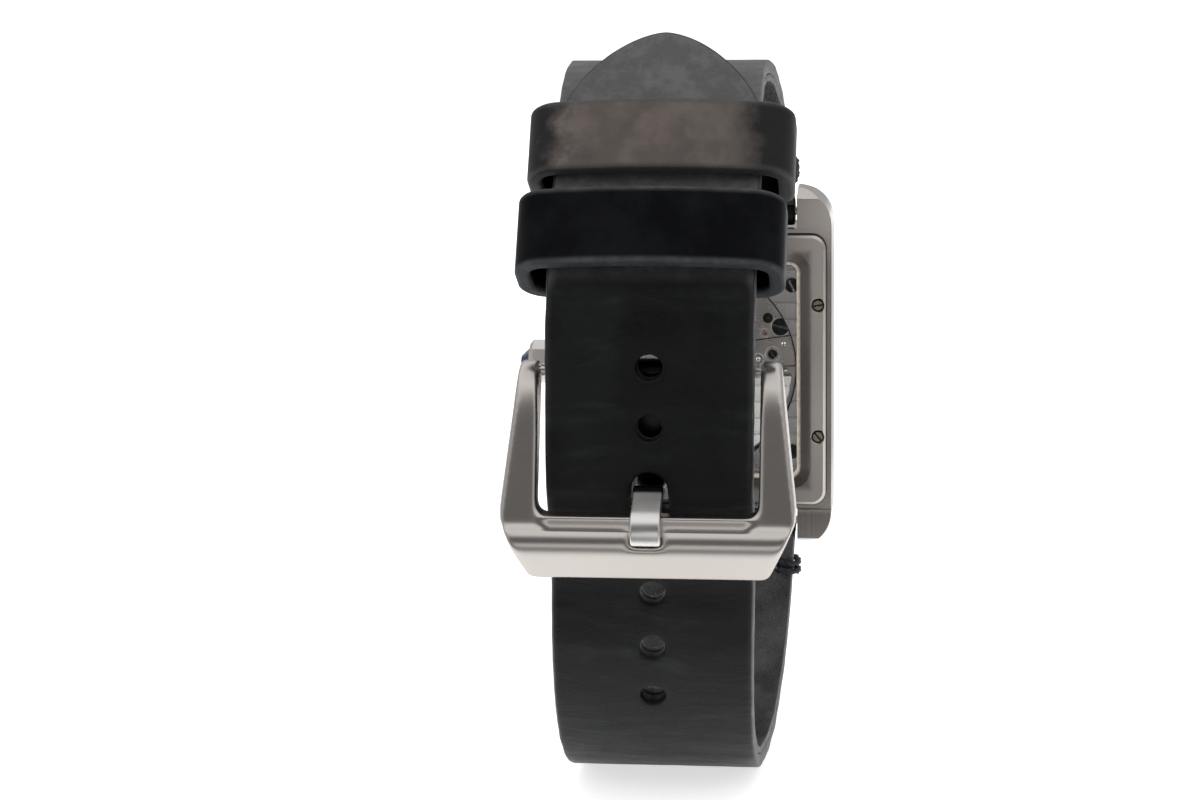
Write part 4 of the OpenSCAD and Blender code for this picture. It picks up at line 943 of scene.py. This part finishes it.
# What shows on the movement beside the strap: x, z, radius, y of its outer end, turn of its slot
screwHead = {"Slot": 0.2, "Depth": 0.5}  # of a head's radius
movementParts = dict(
    screws=dict(at=[(10.92, 5.12, 1.06, 2.2, 165), (9.97, 1.73, 0.56, 2.2, 125)], skin="darkScrew",
        slot="dark_screw"),
    pins=dict(at=[(11.34, 2.95, 0.33, 2.42, 0), (8.2, 1.06, 0.3, 2.42, 0), (11.6, -0.4, 0.24, 2.42, 0)],
        skin="pinSteel", slot="polished_steel", dome=0.45),
    stones=dict(at=[(9.0, 4.35, 0.34, 2.4, 0)], skin="dullStone", slot="ruby", dome=0.45),
    slots=dict(at=[(10.92, 5.12, 1.03, 2.34, 165), (9.97, 1.73, 0.6, 2.25, 125), (12.35, 10.15, 0.95, 1.79, 115),
        (9.42, 6.25, 0.6, 2.25, 20)], skin="pinSteel", slot="movement_nickel", bar=(1.8, 0.22, 0.08)),
    edge=dict(at=[(0.0, 0.0, 12.84, 2.2, 0)], skin="sealBlack", slot="dark_screw", count=200, tube=0.0055),
    # the rims take the rotor's lighter nickel: painted light
    rims=dict(at=[(9.97, 1.73, 0.9, 2.43, 0), (8.2, 1.06, 0.72, 2.43, 0), (9.0, 4.35, 0.55, 2.43, 0),
        (10.92, 5.12, 1.12, 2.3, 0)], skin="rotorNickel", slot="movement_nickel", count=48, tube=0.04),
)


def pointMesh(places):
    data = bpy.data.meshes.new("places")
    data.from_pydata([(x, y, z) for x, z, _, y, _ in places], [], [])
    for name, values in (("size", [p[2] for p in places]), ("turn", [radians(p[4]) for p in places])):
        data.attributes.new(name, "FLOAT", "POINT").data.foreach_set("value", values)
    return data


def placedTree(kind, look):
    # One small part, stood on every point with its own size and turn
    tree, give = newTree(kind, "Slot", "Depth")
    if kind == "screws":
        head = grow(tree, "MeshCylinder", Vertices=40, Radius=1.0, Depth=give["Depth"])
        down = grow(tree, "CombineXYZ", Z=give["Depth"] * -0.5)
        head = grow(tree, "Transform", i0=head, Translation=down)
        size = grow(tree, "CombineXYZ", X=2.4, Y=give["Slot"], Z=give["Depth"] * 0.9)
        part = grow(tree, "MeshBoolean", dict(operation="DIFFERENCE"), Mesh_1=head,
                    Mesh_2=grow(tree, "MeshCube", Size=size))
    elif "bar" in look:
        part = grow(tree, "MeshCube", Size=look["bar"])
    elif "tube" in look:
        line = grow(tree, "CurvePrimitiveCircle", Resolution=look["count"])
        tube = grow(tree, "CurvePrimitiveCircle", Resolution=10, Radius=look["tube"])
        part = grow(tree, "CurveToMesh", i0=line, i1=tube)
    else:
        ball = grow(tree, "MeshUVSphere", Segments=28, Rings=14)
        part = grow(tree, "Transform", i0=ball, Scale=(1, 1, look["dome"]))
    turn, size = (grow(tree, "InputNamedAttribute", dict(data_type="FLOAT"), Name=name)
                  for name in ("turn", "size"))
    lean = grow(tree, "CombineXYZ", X=pi / 2, Y=turn * -1.0)
    stood = grow(tree, "InstanceOnPoints", Points=give["Geometry"], Instance=part, Rotation=lean,
                 Scale=size)
    return finishTree(tree, stood, give, smooth=kind not in ("screws", "slots"))


def makeMovementParts():
    for kind, look in movementParts.items():
        piece = grown("movement" + kind.capitalize(), placedTree(kind, look),
                      {**screwHead, "Skin": skins[look["skin"]]}, pointMesh(look["at"]))
        cleanMesh(piece)
        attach(piece, "watch")
        print("movement", kind, len(piece.data.polygons), "faces")


makeMovementParts()

# Forged and tumbled steel has soft edges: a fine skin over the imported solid, smoothed
softSteel = dict(
    buckleForging=dict(node="buckle_frame", body="buckle", slot="buckle_steel", voxel=0.15, rounds=90,
        skin="buckleSteel"),
    crownForging=dict(node="crown", body="crown", slot="polished_steel", voxel=0.06, rounds=3, skin="brightSteel"),
)


def makeSoftSteel():
    for name, look in softSteel.items():
        mesh = bmesh.new()
        mesh.from_mesh(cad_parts[look["node"]].data)
        bmesh.ops.remove_doubles(mesh, verts=mesh.verts, dist=1e-7)
        rough = linked(name + "Rough", asMesh(mesh, name + "Rough"))
        skin = rough.modifiers.new("skin", "REMESH")
        skin.mode, skin.voxel_size, skin.adaptivity = "VOXEL", look["voxel"] * mm, 0.0
        tumble = rough.modifiers.new("tumble", "SMOOTH")
        tumble.factor, tumble.iterations = 0.5, look["rounds"]
        done = bpy.data.meshes.new_from_object(rough.evaluated_get(bpy.context.evaluated_depsgraph_get()))
        bpy.data.objects.remove(rough)
        done.materials.clear()
        done.materials.append(skins[look["skin"]])
        done.shade_smooth()
        piece = linked(name, done)
        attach(piece, look["body"])
        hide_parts(look["node"])
        print("soft steel", name, len(done.polygons), "faces")


# The tang's side view as y from the pin and z: its front from the nose up, then its back down
# the tang's dark and light make it a lighter copy of the bright steel: painted light
tang = dict(width=3.2, rim=0.26, loopRadius=1.36, loopTurn=(205, 247), bore=0.75, boreRim=0.3, step=0.14, rounds=10,
            nose=(-7.65, -6.75, 0.7, 1.5), brow=(-5.85, -6.75, 2.5, 2.5), browShare=0.578,
            front=[(-3.75, -2.45), (-3.2, -2.8), (-2.4, -3.0), (-1.4, -3.05), (-0.4, -2.5), (-0.15, -1.7), (-0.5, 4),
                   (-0.9, 7.0)],
            back=[(0.8, 7.0), (0.6, 4), (0.8, 1), (0.85, -1.8), (0.5, -3), (-0.6, -3.85), (-2.8, -4.15), (-5.4, -4.3),
                  (-6.4, -4.85), (-6.95, -5.3)], dark=(0.93, 0.91, 0.89), light=(0.97, 0.95, 0.93),
            behind=(-1.15, -0.75))


def tangOutline():
    steps = [pi / 2 * k / 12 for k in range(-12, 13)]
    y, z, wide, tall = tang["nose"]
    loop = [(y - wide * sin(a), z - tall * cos(a)) for a in steps]
    y, z, wide, tall = tang["brow"]
    loop += [(y - wide * cos(a), z + tall * sin(a)) for a in (step * tang["browShare"] for step in steps[13:])]
    loop += tang["front"]
    radius, (start, turn) = tang["loopRadius"], tang["loopTurn"]
    for k in range(25):
        a = radians(start - turn * k / 24)
        loop.append((radius * cos(a), strap["pinZ"] + radius * sin(a)))
    loop += tang["back"]
    loop = resampled(loop[::-1], tang["step"])
    for _ in range(tang["rounds"]):
        loop = [tuple((loop[k - 1][n] + 2 * loop[k][n] + loop[(k + 1) % len(loop)][n]) / 4 for n in (0, 1))
                for k in range(len(loop))]
    return [(strap["nearY"] + y, z) for y, z in loop]


def makeTang():
    # a forged plate: its outline run across its width, with rounded rims
    loops = [tangOutline(), circleLoop(strap["nearY"], strap["pinZ"], tang["bore"], 32)[::-1]]
    half, rim = tang["width"] / 2, tang["rim"]
    rows = [(rim * (1 - cos(a)), rim * (1 - sin(a))) for a in [pi / 2 * k / 6 for k in range(7)]]
    stations = [(-half + run, pull) for run, pull in rows] + [(half - run, pull) for run, pull in reversed(rows)]
    mesh = bmesh.new()
    capPoints, capEdges, ends, border = [], [], ([], []), []
    for loop, soft in zip(loops, (1.0, tang["boreRim"])):
        count, first = len(loop), len(capPoints)
        made = [[mesh.verts.new((x * mm, y * mm, z * mm)) for y, z in inset(loop, pull * soft)]
                for x, pull in stations]
        joinRings(mesh, made)
        border.append(inset(loop, rim * soft))
        capPoints += border[-1]
        capEdges += [(first + k, first + (k + 1) % count) for k in range(count)]
        ends[0].extend(made[0])
        ends[1].extend(made[-1])
    _, _, faces, origins, _, _ = delaunay_2d_cdt([Vector(p) for p in capPoints], capEdges, [], 0, 1e-6)
    for face in faces:
        corners = [origins[v][0] for v in face]
        cy, cz = (sum(capPoints[v][n] for v in corners) / 3 for n in (0, 1))
        if insideLoop(cy, cz, border[0]) and not insideLoop(cy, cz, border[1]):
            for end in ends:
                mesh.faces.new([end[v] for v in corners])
    bmesh.ops.remove_doubles(mesh, verts=mesh.verts, dist=1e-7)
    bmesh.ops.recalc_face_normals(mesh, faces=mesh.faces)
    data = asMesh(mesh, "tangForging")
    face = tailY - halfThickness
    look = dict(steelLooks["brightSteel"], dark=tang["dark"], light=tang["light"])
    # its part behind the strap is darkened: painted shade in the strap's holes
    data.materials.append(steelMaterial("tangSteel", **look, behind=[face + run for run in tang["behind"]]))
    data.shade_smooth()
    piece = linked("tangForging", data)
    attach(piece, "tang")
    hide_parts("buckle_tang")


print("stage: steel")
makeSoftSteel()
makeTang()


print("stage: light")
# tableGlow: what polished faces see on the table, in steps from y to y, strength to strength
studio = dict(tableGlow=[(-0.47, -0.38, 0.42, 0.0), (-0.39, -0.33, 0.0, 0.18), (-0.17, -0.12, 0.52, 0.04),
                         (-0.06, 0.1, 0.0, 0.45)], tableMiddle=(0.045, 0.11, 1.0, 0.3), tableNear=(-0.1, -0.065),
              tableLift=0.28, paleness=0.86, paleReach=(0.12, 0.9, 0.62, 0.9), worldFill=0.3, white=1.0,
              overhead=-0.1, sides=0.5, darkSide=0.24, frontAxis=(0, -1, 0.05), frontReach=(0.76, 0.875),
              sideHeight=(0.25, 0.8), overheadHeight=(0.85, 0.97), floorSize=3.0, floorGap=0.0004,
              tableCentre=0.01, aim=(0, -0.015, 0))


def makeWorld():
    world = bpy.data.worlds.new("studio")
    bpy.context.scene.world = world
    world.use_nodes = True
    world.cycles.sampling_method = "NONE"  # so that mirrors see only what is mixed in for them
    tree = world.node_tree
    plain = tree.nodes["Background"]
    fill(plain, Color=(1, 1, 1), Strength=studio["worldFill"])
    ray = coordinates(tree, "Generated")
    front = vector("DOT_PRODUCT", ray, Vector(studio["frontAxis"]).normalized(), which=1)
    height = parts(ray)[2]
    around = height.between(*studio["sideHeight"], studio["sides"], studio["white"])
    above = height.between(*studio["overheadHeight"], 0.0, studio["overhead"])
    strength = (around + above) * front.between(*studio["frontReach"], 1.0, studio["darkSide"])
    mirrored = grow(tree, "Background", Strength=strength)
    seen = grow(tree, "Background", Color=(1, 1, 1), Strength=studio["white"])
    gloss = grow(tree, "MixShader", i0=lightPath(tree, "Is Glossy Ray"), i1=Value(plain.outputs[0]),
                 i2=mirrored)
    clear = lightPath(tree, "Is Camera Ray").maths("MAXIMUM", lightPath(tree, "Is Transmission Ray"))
    fill(tree.nodes["World Output"], Surface=grow(tree, "MixShader", i0=clear, i1=gloss, i2=seen))


def makeFloor():
    mesh = bmesh.new()
    bmesh.ops.create_grid(mesh, x_segments=1, y_segments=1, size=studio["floorSize"],
                          matrix=Matrix.Translation((0, 0, cadBox[0][2] - studio["floorGap"])))
    floor = linked("floor", asMesh(mesh, "floor"))
    # white where the camera sees it; in mirrors it is a white table that ends in the dark of the room
    grey = (studio["paleness"],) * 3
    material, tree, shader = newMaterial("paleFloor", Base_Color=grey, Roughness=0.7)
    place = coordinates(tree)
    aside, front, _ = parts(place)
    reach = vector("LENGTH", place, which=1)
    pale = grow(tree, "Emission", Strength=reach.between(*studio["paleReach"]))
    seen = grow(tree, "AddShader", i0=Value(shader.outputs[0]), i1=pale)
    near = grow(tree, "AddShader", i0=grow(tree, "BsdfDiffuse", Color=grey),
                i1=grow(tree, "Emission", Strength=studio["tableLift"]))
    first, second, third, last = (front.between(*steps) for steps in studio["tableGlow"])
    centred = abs(aside - studio["tableCentre"]).between(*studio["tableMiddle"])
    far = grow(tree, "Emission", Strength=(first + second + (third + last)) * centred)
    table = grow(tree, "MixShader", i0=front.between(*studio["tableNear"]), i1=far, i2=near)
    mixed = grow(tree, "MixShader", i0=lightPath(tree, "Is Camera Ray"), i1=table, i2=seen)
    fill(tree.nodes["Material Output"], Surface=mixed)
    floor.data.materials.append(material)


# the world's white stands for the lamps in mirrors
lamps = [
    dict(name="overhead", place=(0.0, -0.36, 0.56), size=(1.15, 0.72), power=3.1),
    dict(name="left", place=(-0.6, -0.35, 0.22), size=(0.45, 0.5), power=1.5),
    dict(name="right", place=(0.6, -0.3, 0.22), size=(0.45, 0.5), power=1.5),
    dict(name="behind", place=(0.0, 0.6, 0.3), size=(0.7, 0.5), power=2.0),
]


def makeLamps():
    target = Vector(studio["aim"])
    for lamp in lamps:
        data = bpy.data.lights.new(lamp["name"], "AREA")
        data.shape = "RECTANGLE"
        data.size, data.size_y = lamp["size"]
        data.energy = lamp["power"]
        made = linked(lamp["name"], data)
        made.location = lamp["place"]
        made.visible_glossy = False
        made.rotation_euler = (target - made.location).to_track_quat("-Z", "Y").to_euler()


makeCamera()
makeWorld()
makeFloor()
makeLamps()
bpy.context.scene.view_settings.view_transform = "Standard"
